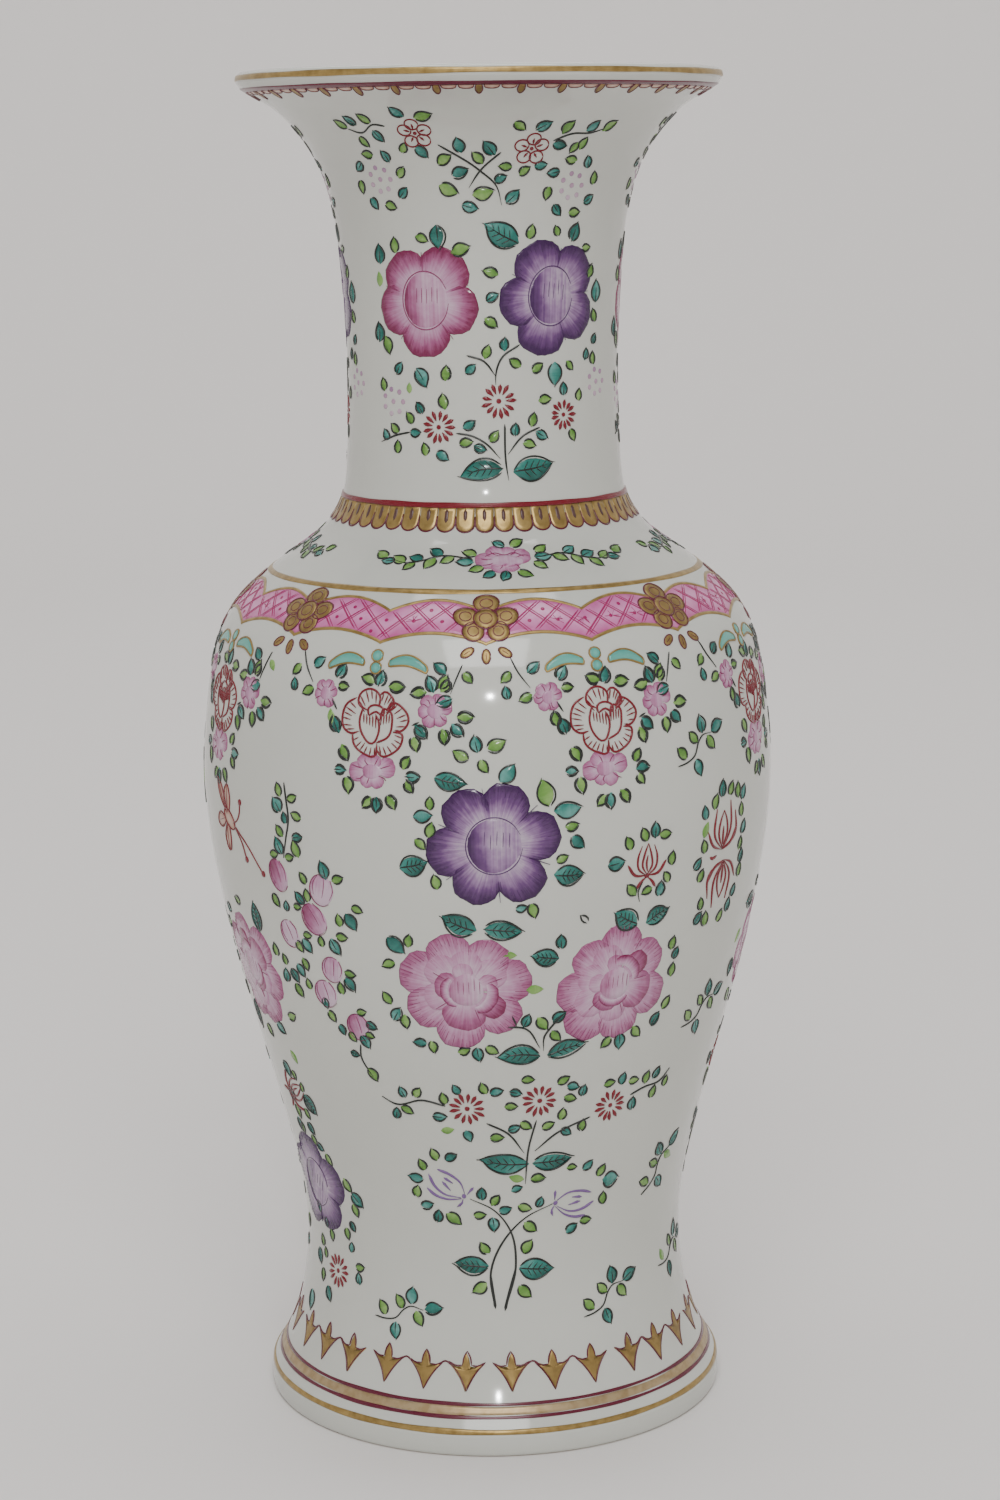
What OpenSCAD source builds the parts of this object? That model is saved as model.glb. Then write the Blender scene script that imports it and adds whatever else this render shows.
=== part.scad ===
/* [Body] */
// Height of the vase, from the resting face to the top of the lip
vase_h = 350; // [315:5:385]
// Radius of the foot's upright side
foot_r = 61; // [58:0.5:64]
// Radius of the narrow waist above the foot
waist_r = 50.5; // [48:0.5:53]
// Largest radius of the belly
belly_r = 75; // [72:0.5:80]
// Radius at the middle of the neck
neck_r = 35; // [32:0.5:38]
// Largest radius of the everted lip
lip_r = 62; // [59:0.5:65]

/* [Walls] */
// Thickness of the porcelain wall, measured square to the surface
wall = 4; // [3:0.5:5.5]
// Radius of the rounded lip
lip_round = 1.9; // [1.5:0.1:2.2]
// Thickness of the bottom between the foot recess and the inside
bottom_t = 6; // [4:0.5:8]
// Depth of the recess inside the foot ring
recess_h = 8; // [5:0.5:9]
// Width of the flat ring that the vase stands on
rest_w = 3.2; // [2:0.2:5]

/* [Painted layers] */
// How far a fired enamel or gilt layer stands out from the glaze
paint_t = 0.2; // [0.15:0.05:0.4]
// Width of a drawn puce or red line
line_w = 0.9; // [0.6:0.1:1.3]
// Width of the gilt lines on the lip and the foot
gilt_w = 1.4; // [1:0.1:2]
// Width of the gilt band between the two puce lines of the foot
foot_band_w = 2; // [1.5:0.1:2.4]
// Height of the gilt band that hangs from the red line at the base of the neck
collar_band_h = 5.4; // [3.6:0.2:6.4]
// Height that the pink trellis band takes up on the sloping shoulder
trellis_h = 10; // [8:0.5:13]

/* [Hidden] */
$fn = 96;

glaze_color = "#d8dad2";
gilt_color = "#b98a45";
puce_color = "#6b1f46";
iron_red_color = "#a4382c";
trellis_color = "#e7a7bb";

// Heights that the outline and the painted layers share, for a vase 350 tall
k = vase_h / 350;
foot_gilt_z = 6.6 * k;
foot_lower_z = 9.8 * k;
foot_upper_z = foot_lower_z + foot_band_w + line_w;
foot_top_z = 13 * k;
shoulder_z = 223.4 * k;
collar_z = 242.5 * k;
lip_z = vase_h - lip_round;
// The outline meets the rounded lip this far under the top, whatever the vase's height
lip_foot_z = vase_h - 4.1;

// How much the belly, waist, neck and lip differ from the base design
belly_d = belly_r - 75;
waist_d = waist_r - 50.5;
neck_d = neck_r - 35;
lip_d = lip_r - 62;
foot_d = foot_r - 61;

// Stations of the outline above the foot: [height, radius]
STATIONS = [
    [foot_gilt_z, 60.7 + foot_d],
    [foot_lower_z, 58.6 + foot_d],
    [foot_top_z, 56.8 + foot_d],
    [20 * k, 53.9 + waist_d],
    [30 * k, 51.6 + waist_d],
    [44 * k, 50.5 + waist_d],
    [60 * k, 52 + waist_d],
    [84 * k, 57.8 + waist_d],
    [116 * k, 66.4 + belly_d],
    [146 * k, 72.8 + belly_d],
    [168 * k, 75 + belly_d],
    [188 * k, 73.8 + belly_d],
    [204 * k, 71 + belly_d],
    [214 * k, 66 + belly_d],
    [224 * k, 55.6 + neck_d],
    [233 * k, 43.2 + neck_d],
    [241 * k, 37.5 + neck_d],
    [252 * k, 35.7 + neck_d],
    [276 * k, 35 + neck_d],
    [300 * k, 36.1 + neck_d],
    [318 * k, 38.6 + neck_d],
    [330 * k, 43.2 + neck_d],
    [340 * k, 51.6 + lip_d],
    [lip_foot_z, 61 + lip_d]
];
LAST = len(STATIONS) - 1;

// Slope of the outline at a station, from its two neighbours
function slope(i) =
    let (a = max(i - 1, 0), b = min(i + 1, LAST))
    (STATIONS[b][1] - STATIONS[a][1]) / (STATIONS[b][0] - STATIONS[a][0]);

// Smooth step between two stations, with t from 0 to 1: [height, radius, slope]
function between(i, t) =
    let (h = STATIONS[i + 1][0] - STATIONS[i][0],
        r0 = STATIONS[i][1],
        r1 = STATIONS[i + 1][1],
        m0 = slope(i) * h,
        m1 = slope(i + 1) * h,
        r = (2 * t^3 - 3 * t^2 + 1) * r0 + (t^3 - 2 * t^2 + t) * m0
            + (3 * t^2 - 2 * t^3) * r1 + (t^3 - t^2) * m1,
        dr = (6 * t^2 - 6 * t) * r0 + (3 * t^2 - 4 * t + 1) * m0
            + (6 * t - 6 * t^2) * r1 + (3 * t^2 - 2 * t) * m1)
    [STATIONS[i][0] + h * t, r, dr / h];

STEPS = 5;
SMOOTH = [for (i = [0 : LAST - 1]) for (s = [0 : STEPS - 1]) between(i, s / STEPS)];

function arc(cx, cy, r, a0, a1, n) =
    [for (i = [0 : n]) let (a = a0 + (a1 - a0) * i / n) [cx + r * cos(a), cy + r * sin(a)]];

lip_x = lip_r + 0.1 - lip_round;
foot_round = 1.2;
foot_edge = arc(foot_r - foot_round, foot_round, foot_round, -90, 0, 4);
foot_roll = arc(foot_r - foot_round, foot_gilt_z - 1.4, foot_round, 0, 35, 3);
lip_outer = arc(lip_x, lip_z, lip_round, -50, 90, 12);
lip_inner = arc(lip_x, lip_z, lip_round, 100, 130, 3);

// The whole outside, from the resting face to the top of the lip: [radius, height]
OUTER = concat(foot_edge, foot_roll, [for (p = SMOOTH) [p[1], p[0]]],
    [[STATIONS[LAST][1], STATIONS[LAST][0]]], lip_outer);

// The inside follows the outside at the wall's thickness, down to a rounded floor
floor_z = recess_h + bottom_t;
floor_round = 8;
well_z = floor_z + floor_round;
INNER_UP = [for (p = SMOOTH) if (p[0] > well_z + 1 && p[0] < lip_foot_z - 0.5)
    [p[1] - wall * sqrt(1 + p[2] * p[2]), p[0]]];
floor_arc = arc(INNER_UP[0][0] - floor_round, well_z, floor_round, -90, 0, 6);
INNER = concat([[0, floor_z]], floor_arc, INNER_UP);
function reversed(v) = [for (i = [len(v) - 1 : -1 : 0]) v[i]];

rest_in = foot_r - foot_round - rest_w;
recess_r = rest_in - 2.5;
UNDERSIDE = [[0, recess_h], [recess_r - 2, recess_h], [recess_r, recess_h - 2], [rest_in, 0]];

module vase_body() {
    color(glaze_color)
        rotate_extrude()
            polygon(concat(UNDERSIDE, OUTER, lip_inner, reversed(INNER)));
}

// A fired layer of enamel or gold that lies on the outside between two heights
module painted_layer(z0, z1, t = paint_t) {
    skin = [for (p = OUTER) [p[0] + t, p[1]]];
    rotate_extrude()
        intersection() {
            polygon(concat(OUTER, reversed(skin)));
            translate([0, z0])
                square([2 * belly_r, z1 - z0]);
        }
}

// A line of a given width, centred on a height
module painted_line(z, w) {
    painted_layer(z - w / 2, z + w / 2);
}

module rim_gilt_line() {
    color(gilt_color)
        painted_line(lip_z + 0.3, gilt_w);
}

module rim_puce_line() {
    color(puce_color)
        painted_line(lip_foot_z - line_w / 2, line_w);
}

module collar_red_line() {
    color(iron_red_color)
        painted_line(collar_z, line_w);
}

module collar_gilt_band() {
    top = collar_z - line_w / 2 - 0.3;
    color(gilt_color)
        painted_layer(top - collar_band_h, top);
}

module shoulder_gilt_line() {
    color(gilt_color)
        painted_line(shoulder_z, line_w);
}

module trellis_band() {
    top = shoulder_z - 1.4;
    color(trellis_color)
        painted_layer(top - trellis_h, top);
}

module foot_puce_line_upper() {
    color(puce_color)
        painted_line(foot_upper_z, line_w);
}

module foot_gilt_band() {
    color(gilt_color)
        painted_layer(foot_lower_z + line_w / 2, foot_upper_z - line_w / 2);
}

module foot_puce_line_lower() {
    color(puce_color)
        painted_line(foot_lower_z, line_w);
}

module foot_gilt_line() {
    color(gilt_color)
        painted_line(foot_gilt_z, gilt_w);
}

vase_body();
rim_gilt_line();
rim_puce_line();
collar_red_line();
collar_gilt_band();
shoulder_gilt_line();
trellis_band();
foot_puce_line_upper();
foot_gilt_band();
foot_puce_line_lower();
foot_gilt_line();
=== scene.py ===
"""Looks of the painted porcelain vase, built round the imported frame.

Every flower, leaf, line and band is a thin closed stroke of enamel or gold, laid on the outline that
is read from the frame. Drawings are in millimetres with x to the right and y up along the glaze.
Azimuth 0 faces the camera and grows towards the viewer's right.
"""

import math

import bpy
import numpy as np
from mathutils import Matrix


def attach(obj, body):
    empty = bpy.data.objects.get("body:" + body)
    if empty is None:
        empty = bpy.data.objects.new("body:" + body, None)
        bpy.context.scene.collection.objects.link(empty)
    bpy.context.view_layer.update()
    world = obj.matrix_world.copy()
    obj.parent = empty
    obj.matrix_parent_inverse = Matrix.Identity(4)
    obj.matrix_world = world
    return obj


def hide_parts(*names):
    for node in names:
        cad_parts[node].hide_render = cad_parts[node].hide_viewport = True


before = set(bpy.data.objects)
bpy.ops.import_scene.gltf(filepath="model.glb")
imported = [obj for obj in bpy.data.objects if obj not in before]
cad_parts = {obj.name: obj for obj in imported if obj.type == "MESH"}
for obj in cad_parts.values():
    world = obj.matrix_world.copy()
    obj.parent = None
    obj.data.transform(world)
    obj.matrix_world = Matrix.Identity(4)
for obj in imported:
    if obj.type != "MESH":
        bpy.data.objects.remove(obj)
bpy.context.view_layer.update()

MM = 0.001
INK_LIFT = 0.2  # how far the top of a line stands off the glaze
FILL_LIFT = 0.09  # how far the top of a filled shape stands off it
SUNK = -0.05  # where the underside of every stroke lies, just inside the glaze
EVEN = (0.02, 0.02)  # taper of a stroke that keeps its width to both ends
SECTORS = ("front", "right", "back", "left")
chance = np.random.default_rng(7)


# ---------------------------------------------------------------- the outline of the body


def section_points(node):
    """The turned body's half section, walked from the recess to the inside floor, as (r, z) in mm."""
    verts = node.data.vertices
    on_plane = {v.index for v in verts if abs(v.co.y) < 1e-6 and v.co.x > -1e-6}
    near = {}
    for edge in node.data.edges:
        a, b = edge.vertices
        if a in on_plane and b in on_plane:
            p, q = [(round(verts[i].co.x / MM, 2), round(verts[i].co.z / MM, 2)) for i in (a, b)]
            if p != q:
                near.setdefault(p, set()).add(q)
                near.setdefault(q, set()).add(p)
    ends = sorted((p for p in near if len(near[p]) == 1), key=lambda p: p[1])
    walk = [ends[0]]
    while True:
        onward = near[walk[-1]] - set(walk[-2:])
        if not onward:
            break
        walk.append(min(onward))
    return walk


def smooth_path(points, step, corner=0.9):
    """Points joined by a smooth curve no coarser than step, with real corners kept sharp."""
    p = np.array(points, float)
    run = np.diff(p, axis=0)
    size = np.linalg.norm(run, axis=1)
    unit = run / size[:, None]
    out = []
    for i in range(len(run)):
        slopes = []
        for j in (i - 1, i + 1):
            if 0 <= j < len(run) and unit[i] @ unit[j] > corner:
                mean = unit[i] * size[j] + unit[j] * size[i]
                slopes.append(mean / np.linalg.norm(mean))
            else:
                slopes.append(unit[i])
        parts = max(1, math.ceil(size[i] / step))
        for k in range(parts):
            t = k / parts
            out.append(
                (2 * t**3 - 3 * t**2 + 1) * p[i]
                + (t**3 - 2 * t**2 + t) * size[i] * slopes[0]
                + (3 * t**2 - 2 * t**3) * p[i + 1]
                + (t**3 - t**2) * size[i] * slopes[1]
            )
    out.append(p[-1])
    return np.array(out)


body_loop = smooth_path(section_points(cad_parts["vase_body"]), 1.6)
foot_edge = np.flatnonzero(body_loop[:, 1] < 0.02).max()
lip_top = int(np.argmax(body_loop[:, 1]))
outline = body_loop[foot_edge : lip_top + 1]
along = np.concatenate([[0], np.cumsum(np.linalg.norm(np.diff(outline, axis=0), axis=1))])
slope = np.gradient(outline, along, axis=0)
slope /= np.linalg.norm(slope, axis=1)[:, None]


def up_to(z):
    """Length along the outline from the foot to height z."""
    return np.interp(z, outline[:, 1], along)


def radius_at(s):
    return np.interp(s, along, outline[:, 0])


def height_at(s):
    return np.interp(s, along, outline[:, 1])


def on_glaze(azimuth, s, lift):
    """Points in mm at azimuths in degrees, lengths s along the outline and heights above the glaze."""
    azimuth, s, lift = np.broadcast_arrays(azimuth, s, lift)
    turn = np.radians(azimuth)
    r = radius_at(s) + lift * np.interp(s, along, slope[:, 1])
    z = height_at(s) - lift * np.interp(s, along, slope[:, 0])
    return np.stack([r * np.sin(turn), -r * np.cos(turn), z], axis=-1)


class Spot:
    """A place to draw at. seen is an azimuth: x is then read flat as it looks from straight in front of
    that azimuth, instead of round the glaze."""

    def __init__(self, azimuth, z, turn=0.0, size=1.0, flip=False, seen=None):
        self.azimuth = azimuth
        self.s = float(up_to(z))
        self.angle = math.radians(turn)
        self.size = size
        self.side = -1 if flip else 1
        self.seen = seen

    def spread(self, x, y):
        """Azimuth and length along the outline of a local point."""
        x = np.asarray(x, float) * self.size * self.side
        y = np.asarray(y, float) * self.size
        cos, sin = math.cos(self.angle), math.sin(self.angle)
        x, y = x * cos - y * sin, x * sin + y * cos
        s = self.s + y
        around = x / radius_at(s)
        if self.seen is None:
            return self.azimuth + np.degrees(around), s
        flat = around + math.sin(math.radians(self.azimuth - self.seen))
        return self.seen + np.degrees(np.arcsin(np.clip(flat, -0.99, 0.99))), s

    def at(self, x, y, turn=0.0, size=1.0, flip=False):
        """A spot of its own at a local point, which keeps this one's turn, size and side."""
        azimuth, s = self.spread(x, y)
        new = Spot(float(azimuth), 0)
        new.s = float(s)
        new.angle = self.angle + math.radians(turn) * self.side
        new.size = self.size * size
        new.side = self.side * (-1 if flip else 1)
        return new

    def lay(self, xy, lift):
        azimuth, s = self.spread(xy[..., 0], xy[..., 1])
        return on_glaze(azimuth, s, lift)


# ---------------------------------------------------------------- paint layers


class Paint:
    """One kind of paint. It gathers closed strokes and makes one mesh from those in each sector."""

    def __init__(self, name, material, slot, split=True):
        self.name = name
        self.material = material
        self.slot = slot
        self.split = split
        self.strokes = {}

    def add(self, azimuth, verts, faces, brush):
        sector = int(((azimuth + 45) % 360) // 90) if self.split else 0
        self.strokes.setdefault(sector, []).append((verts, faces, brush))

    def build(self, stands_for=None):
        """Makes the pieces. stands_for is the CAD ring that a band stands for."""
        for sector, strokes in sorted(self.strokes.items()):
            name = f"{self.name}_{SECTORS[sector]}" if self.split else self.name
            piece = make_mesh(name, strokes, self.material)
            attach(piece, "root")
            if stands_for:
                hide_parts(stands_for)


def make_mesh(name, strokes, material):
    """One mesh from (vertices in mm, list of face index arrays, brush values) strokes."""
    corners, sizes, first = [], [], 0
    for verts, faces, _ in strokes:
        for group in faces:
            corners.append((group + first).ravel())
            sizes.append(np.full(len(group), group.shape[1]))
        first += len(verts)
    points = np.concatenate([s[0] for s in strokes]) * MM
    corners = np.concatenate(corners).astype(np.int32)
    sizes = np.concatenate(sizes)
    starts = np.concatenate([[0], np.cumsum(sizes)[:-1]]).astype(np.int32)
    mesh = bpy.data.meshes.new(name)
    mesh.vertices.add(len(points))
    mesh.vertices.foreach_set("co", points.astype(np.float32).ravel())
    mesh.loops.add(len(corners))
    mesh.loops.foreach_set("vertex_index", corners)
    mesh.polygons.add(len(starts))
    mesh.polygons.foreach_set("loop_start", starts)
    mesh.polygons.foreach_set("use_smooth", np.ones(len(starts), bool))
    mesh.update(calc_edges=True)
    brush = mesh.attributes.new("brush", "FLOAT_VECTOR", "POINT")
    brush.data.foreach_set("vector", np.concatenate([s[2] for s in strokes]).astype(np.float32).ravel())
    mesh.materials.append(material)
    thing = bpy.data.objects.new(name, mesh)
    bpy.context.scene.collection.objects.link(thing)
    return thing


def strip_faces(rows, columns, all_round=False):
    """Faces of a strip: its top, its underside, and its two ends unless it goes all round."""
    index = np.arange(rows * columns).reshape(rows, columns)
    this, after = index, np.roll(index, -1, axis=0)
    if not all_round:
        this, after = this[:-1], after[:-1]
    top = np.stack([this[:, :-1], this[:, 1:], after[:, 1:], after[:, :-1]], axis=-1)
    under = np.stack([this[:, 0], after[:, 0], after[:, -1], this[:, -1]], axis=-1)
    faces = [top.reshape(-1, 4), under]
    if not all_round:
        faces += [index[0][::-1][None, :], index[-1][None, :]]
    return faces


def brush_values(shape, *values):
    """The three brush values at every point of a grid with this many rows and columns."""
    brush = np.empty(tuple(shape) + (3,))
    for k, value in enumerate(values):
        brush[..., k] = value
    return brush


def strip(paint, spot, grid, lifts, *values):
    """A closed strip of paint through a grid of local points, rows along it and columns across it."""
    shape = grid.shape[:2]
    verts = spot.lay(grid, lifts).reshape(-1, 3)
    brush = brush_values(shape, *values).reshape(-1, 3)
    paint.add(spot.azimuth, verts, strip_faces(*shape), brush)


def curve_through(points, step):
    """A smooth open curve through a few local points, with its left-hand normals and fractions."""
    p = np.array(points, float)
    if len(p) > 2:
        path = smooth_path(p, step, corner=-0.6)
    else:
        count = max(2, math.ceil(np.linalg.norm(p[1] - p[0]) / step) + 1)
        path = p[0] + (p[1] - p[0]) * np.linspace(0, 1, count)[:, None]
    run = np.gradient(path, axis=0)
    run /= np.linalg.norm(run, axis=1)[:, None] + 1e-9
    side = np.stack([-run[:, 1], run[:, 0]], axis=1)
    gone = np.concatenate([[0], np.cumsum(np.linalg.norm(np.diff(path, axis=0), axis=1))])
    return path, side, gone / gone[-1]


def stroke(paint, spot, points, width, taper=(0.25, 0.35), lift=INK_LIFT, step=0.9):
    """A brush stroke through local points, thinner towards its ends."""
    path, side, part = curve_through(points, step)
    start = np.clip(part / taper[0], 0, 1) ** 0.7
    end = np.clip((1 - part) / taper[1], 0, 1) ** 0.7
    half = 0.5 * np.maximum(width * np.minimum(start, end), 0.1)
    across = np.array([1.0, 0.7, -0.7, -1.0])
    grid = path[:, None] + side[:, None] * (half[:, None] * across)[..., None]
    strip(paint, spot, grid, [SUNK, lift, lift, SUNK], part[:, None], across, chance.random())


def blob(paint, spot, edge, centre=(0, 0), lift=FILL_LIFT, shade=None):
    """A filled shape round a centre that can see all of its edge. shade gives brush.x from x and y."""
    edge, centre = np.array(edge, float), np.array(centre, float)
    count = len(edge)
    parts = (1.0, 0.93, 0.62, 0.3)
    lifts = (SUNK, lift, lift * 1.15, lift * 1.2)
    rings = [centre + (edge - centre) * part for part in parts]
    xy = np.concatenate(rings + [centre[None], centre[None]])
    verts = spot.lay(xy, np.concatenate([np.repeat(lifts, count), [lifts[-1], SUNK]]))
    here = np.arange(count)
    after = np.roll(here, -1)
    faces = []
    for k in range(len(parts) - 1):
        low, high = k * count, (k + 1) * count
        faces.append(np.stack([here + low, after + low, after + high, here + high], axis=1))
    last = (len(parts) - 1) * count
    middle = len(parts) * count
    faces.append(np.stack([here + last, after + last, np.full(count, middle)], axis=1))
    faces.append(np.stack([after, here, np.full(count, middle + 1)], axis=1))
    if shade is None:
        inward = np.concatenate([np.repeat(parts, count), [0, 0]])
    else:
        inward = shade(xy[:, 0], xy[:, 1])
    brush = brush_values((len(xy),), inward, xy[:, 0] * 0.12, chance.random())
    paint.add(spot.azimuth, verts, faces, brush)


def closed(edge):
    """An outline that comes back to its first point."""
    return np.concatenate([edge, edge[:1]])


def rim(paint, spot, edge, width, lift=INK_LIFT):
    """A line of even width all round an outline."""
    stroke(paint, spot, closed(edge), width, EVEN, lift)


def round_strip(paint, azimuth, s, lift, across, own):
    """A strip all round the vase: a row of lengths s for each azimuth."""
    lifts = np.full(s.shape[1], lift)
    lifts[[0, -1]] = SUNK
    verts = on_glaze(azimuth[:, None], s, lifts).reshape(-1, 3)
    brush = brush_values(s.shape, across, azimuth[:, None] / 10, own).reshape(-1, 3)
    paint.add(0, verts, strip_faces(*s.shape, all_round=True), brush)


def ring(paint, low, high, lift=0.12, columns=4, count=360, wobble=0.06):
    """A painted band all round. low and high give its heights z from the azimuth in degrees."""
    azimuth = np.arange(count) * 360 / count
    turn = np.radians(azimuth)
    uneven = sum(wobble * math.cos(k) * np.sin(turn * (3 + 4 * k) + 1.7 * k) for k in range(4))
    bottom = up_to(low(azimuth)) + uneven
    top = up_to(high(azimuth)) - uneven
    share = np.concatenate([[0, 0.04], np.linspace(0, 1, columns)[1:-1], [0.96, 1]])[::-1]
    s = bottom[:, None] + (top - bottom)[:, None] * share
    round_strip(paint, azimuth, s, lift, share, 0.5)


def wavy_line(paint, heights, width, lift, count=720):
    """A painted line round the vase at a height that changes with the azimuth."""
    azimuth = np.arange(count) * 360 / count
    across = np.array([0.5, 0.36, -0.36, -0.5])
    s = up_to(heights(azimuth))[:, None] + across * width
    round_strip(paint, azimuth, s, lift, across + 0.5, 0.3)


def toward(angle):
    """The x and y of a step of 1 mm at an angle in degrees."""
    return math.cos(math.radians(angle)), math.sin(math.radians(angle))


def level(z):
    """A height that is the same all round."""
    return lambda azimuth: np.full_like(azimuth, z, dtype=float)


def oval(rx, ry, count=14, turn=0.0, ripple=0.0):
    """Points of an oval, with an uneven edge if ripple is above 0."""
    a = np.linspace(0, 2 * math.pi, count, endpoint=False)
    r = 1 + ripple * np.sin(a * 3 + chance.random() * 6)
    x, y = rx * r * np.cos(a), ry * r * np.sin(a)
    c, s = toward(turn)
    return np.stack([x * c - y * s, x * s + y * c], axis=1)


# ---------------------------------------------------------------- materials


def colour(red, green, blue):
    """A colour given as it looks on a screen, 0 to 255, as the shaders take it."""
    parts = [c / 255 for c in (red, green, blue)]
    return [p / 12.92 if p < 0.04045 else ((p + 0.055) / 1.055) ** 2.4 for p in parts] + [1]


class Nodes:
    """A material's node tree, with the shader ready to link to."""

    def __init__(self, name):
        self.material = bpy.data.materials.new(name)
        self.material.use_nodes = True
        self.tree = self.material.node_tree
        self.shader = self.tree.nodes["Principled BSDF"]

    def add(self, kind, **inputs):
        node = self.tree.nodes.new(kind)
        for key, value in inputs.items():
            node.inputs[key].default_value = value
        return node

    def link(self, source, target):
        self.tree.links.new(source, target)

    def settle(self, **values):
        for key, value in values.items():
            self.shader.inputs[key.replace("_", " ")].default_value = value

    def maths(self, kind, first, second):
        """A maths node. first and second are sockets or plain numbers."""
        node = self.tree.nodes.new("ShaderNodeMath")
        node.operation = kind
        for socket, value in zip(node.inputs, (first, second)):
            if isinstance(value, (int, float)):
                socket.default_value = value
            else:
                self.link(value, socket)
        return node.outputs[0]

    def brush(self):
        """The three brush values: along or towards the edge, across, and the stroke's own number."""
        attribute = self.add("ShaderNodeAttribute")
        attribute.attribute_name = "brush"
        parts = self.add("ShaderNodeSeparateXYZ")
        self.link(attribute.outputs["Vector"], parts.inputs[0])
        return parts.outputs

    def noise(self, scale, detail, vector=None):
        """Noise from the object's own coordinates in metres, or from a vector."""
        node = self.add("ShaderNodeTexNoise", Scale=scale, Detail=detail)
        if vector is None:
            vector = self.add("ShaderNodeTexCoord").outputs["Object"]
        self.link(vector, node.inputs["Vector"])
        return node.outputs["Fac"]

    def tint(self, value, stops):
        """Colours the shader by a value between 0 and 1, through stops of a place and a colour."""
        node = self.add("ShaderNodeValToRGB")
        elements = node.color_ramp.elements
        while len(elements) < len(stops):
            elements.new(0.5)
        for element, (place, shade) in zip(elements, stops):
            element.position = place
            element.color = shade
        self.link(value, node.inputs[0])
        self.link(node.outputs[0], self.shader.inputs["Base Color"])

    def bump(self, height, strength, distance):
        node = self.add("ShaderNodeBump", Strength=strength, Distance=distance)
        self.link(height, node.inputs["Height"])
        self.link(node.outputs[0], self.shader.inputs["Normal"])


def plain_enamel(name, shade, roughness=0.22):
    """Enamel in lines too thin for any shading of their own."""
    n = Nodes(name)
    n.settle(Base_Color=shade, Roughness=roughness, IOR=1.5)
    return n.material


def shaded_enamel(name, stops, own=0.0, streak=0.5, fine=9.0):
    """Enamel shaded along brush.x by stops of a place, red, green and blue.

    streak is how strongly the brush streaks it and fine how narrowly. own is how far strokes differ.
    """
    n = Nodes(name)
    parts = n.brush()
    place = n.add("ShaderNodeCombineXYZ")
    n.link(n.maths("MULTIPLY", parts[0], 0.8), place.inputs[0])
    n.link(n.maths("MULTIPLY", parts[1], fine), place.inputs[1])
    n.link(n.maths("MULTIPLY", parts[2], 40.0), place.inputs[2])
    streaks = n.maths("SUBTRACT", n.noise(1.0, 2.0, place.outputs[0]), 0.5)
    cloud = n.maths("SUBTRACT", n.noise(420.0, 2.0), 0.5)
    tone = n.maths("ADD", parts[0], n.maths("MULTIPLY", streaks, streak))
    tone = n.maths("ADD", tone, n.maths("MULTIPLY", cloud, 0.35))
    tone = n.maths("ADD", tone, n.maths("MULTIPLY", n.maths("SUBTRACT", parts[2], 0.5), own))
    n.tint(tone, [(place, colour(*shade)) for place, *shade in stops])
    n.settle(Roughness=0.16, IOR=1.5)
    return n.material


def burnished_gold(name, bright, dull, roughness):
    """Fired gold that is worn and brushed on unevenly."""
    n = Nodes(name)
    n.tint(n.noise(420.0, 5.0), [(0.35, (*dull, 1)), (0.62, (*bright, 1))])
    n.settle(Metallic=0.62, Roughness=roughness)
    return n.material


def glaze():
    """Clear, slightly green-white glaze with faint clouds and a soft unevenness."""
    n = Nodes("glazed_porcelain")
    n.tint(n.noise(14.0, 4.0), [(0.3, colour(187, 189, 182)), (0.7, colour(193, 195, 188))])
    n.settle(Roughness=0.09, IOR=1.52)
    n.bump(n.noise(9.0, 2.0), 0.12, 0.002)
    return n.material


def biscuit():
    """Unglazed ring that the vase stands on."""
    n = Nodes("bare_biscuit")
    n.tint(n.noise(900.0, 5.0), [(0.3, colour(180, 170, 152)), (0.7, colour(204, 196, 182))])
    n.settle(Roughness=0.75)
    return n.material


def line_paint(stem, shade, slot):
    """Paint for fine lines, from red, green and blue."""
    return Paint(f"{stem}s", plain_enamel(f"{stem}_enamel", colour(*shade)), slot)


ink = line_paint("black_outline", (20, 26, 22), "outline_enamel")
puce = line_paint("puce_line", (88, 12, 38), "puce_enamel")
red = line_paint("iron_red_line", (110, 2, 24), "iron_red_enamel")
green = Paint(
    "green_leaves",
    shaded_enamel(
        "green_leaf_enamel",
        [(0.05, 130, 166, 92), (0.5, 94, 140, 58), (1.0, 58, 100, 38)],
        own=0.35,
    ),
    "green_enamel",
)
teal = Paint(
    "teal_leaves",
    shaded_enamel(
        "teal_leaf_enamel",
        [(0.05, 92, 152, 144), (0.45, 38, 114, 104), (0.95, 2, 72, 64)],
        own=0.5,
    ),
    "green_enamel",
)
pink = Paint(
    "pink_petals",
    shaded_enamel(
        "pink_petal_enamel",
        [(0.05, 190, 166, 184), (0.32, 174, 128, 158), (0.58, 148, 80, 120), (0.86, 112, 20, 68)],
        streak=0.42,
        fine=13.0,
    ),
    "pink_enamel",
)
purple = Paint(
    "purple_petals",
    shaded_enamel(
        "purple_petal_enamel",
        [(0.05, 180, 166, 182), (0.3, 140, 110, 148), (0.55, 92, 54, 106), (0.85, 52, 6, 68)],
        streak=0.42,
        fine=13.0,
    ),
    "purple_enamel",
)
gold = Paint(
    "gilt_details",
    burnished_gold("gilt_detail_gold", (0.32, 0.215, 0.07), (0.22, 0.145, 0.045), 0.38),
    "gilding",
)
turquoise = Paint(
    "turquoise_jewels",
    shaded_enamel("turquoise_jewel_enamel", [(0.0, 100, 172, 160), (1.0, 66, 138, 128)], own=0.2),
    "turquoise_enamel",
)
foot_gold = burnished_gold("foot_band_gold", (0.44, 0.33, 0.19), (0.34, 0.24, 0.12), 0.36)
band_gold = burnished_gold("gilt_line_gold", (0.38, 0.26, 0.09), (0.26, 0.17, 0.05), 0.3)
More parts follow.
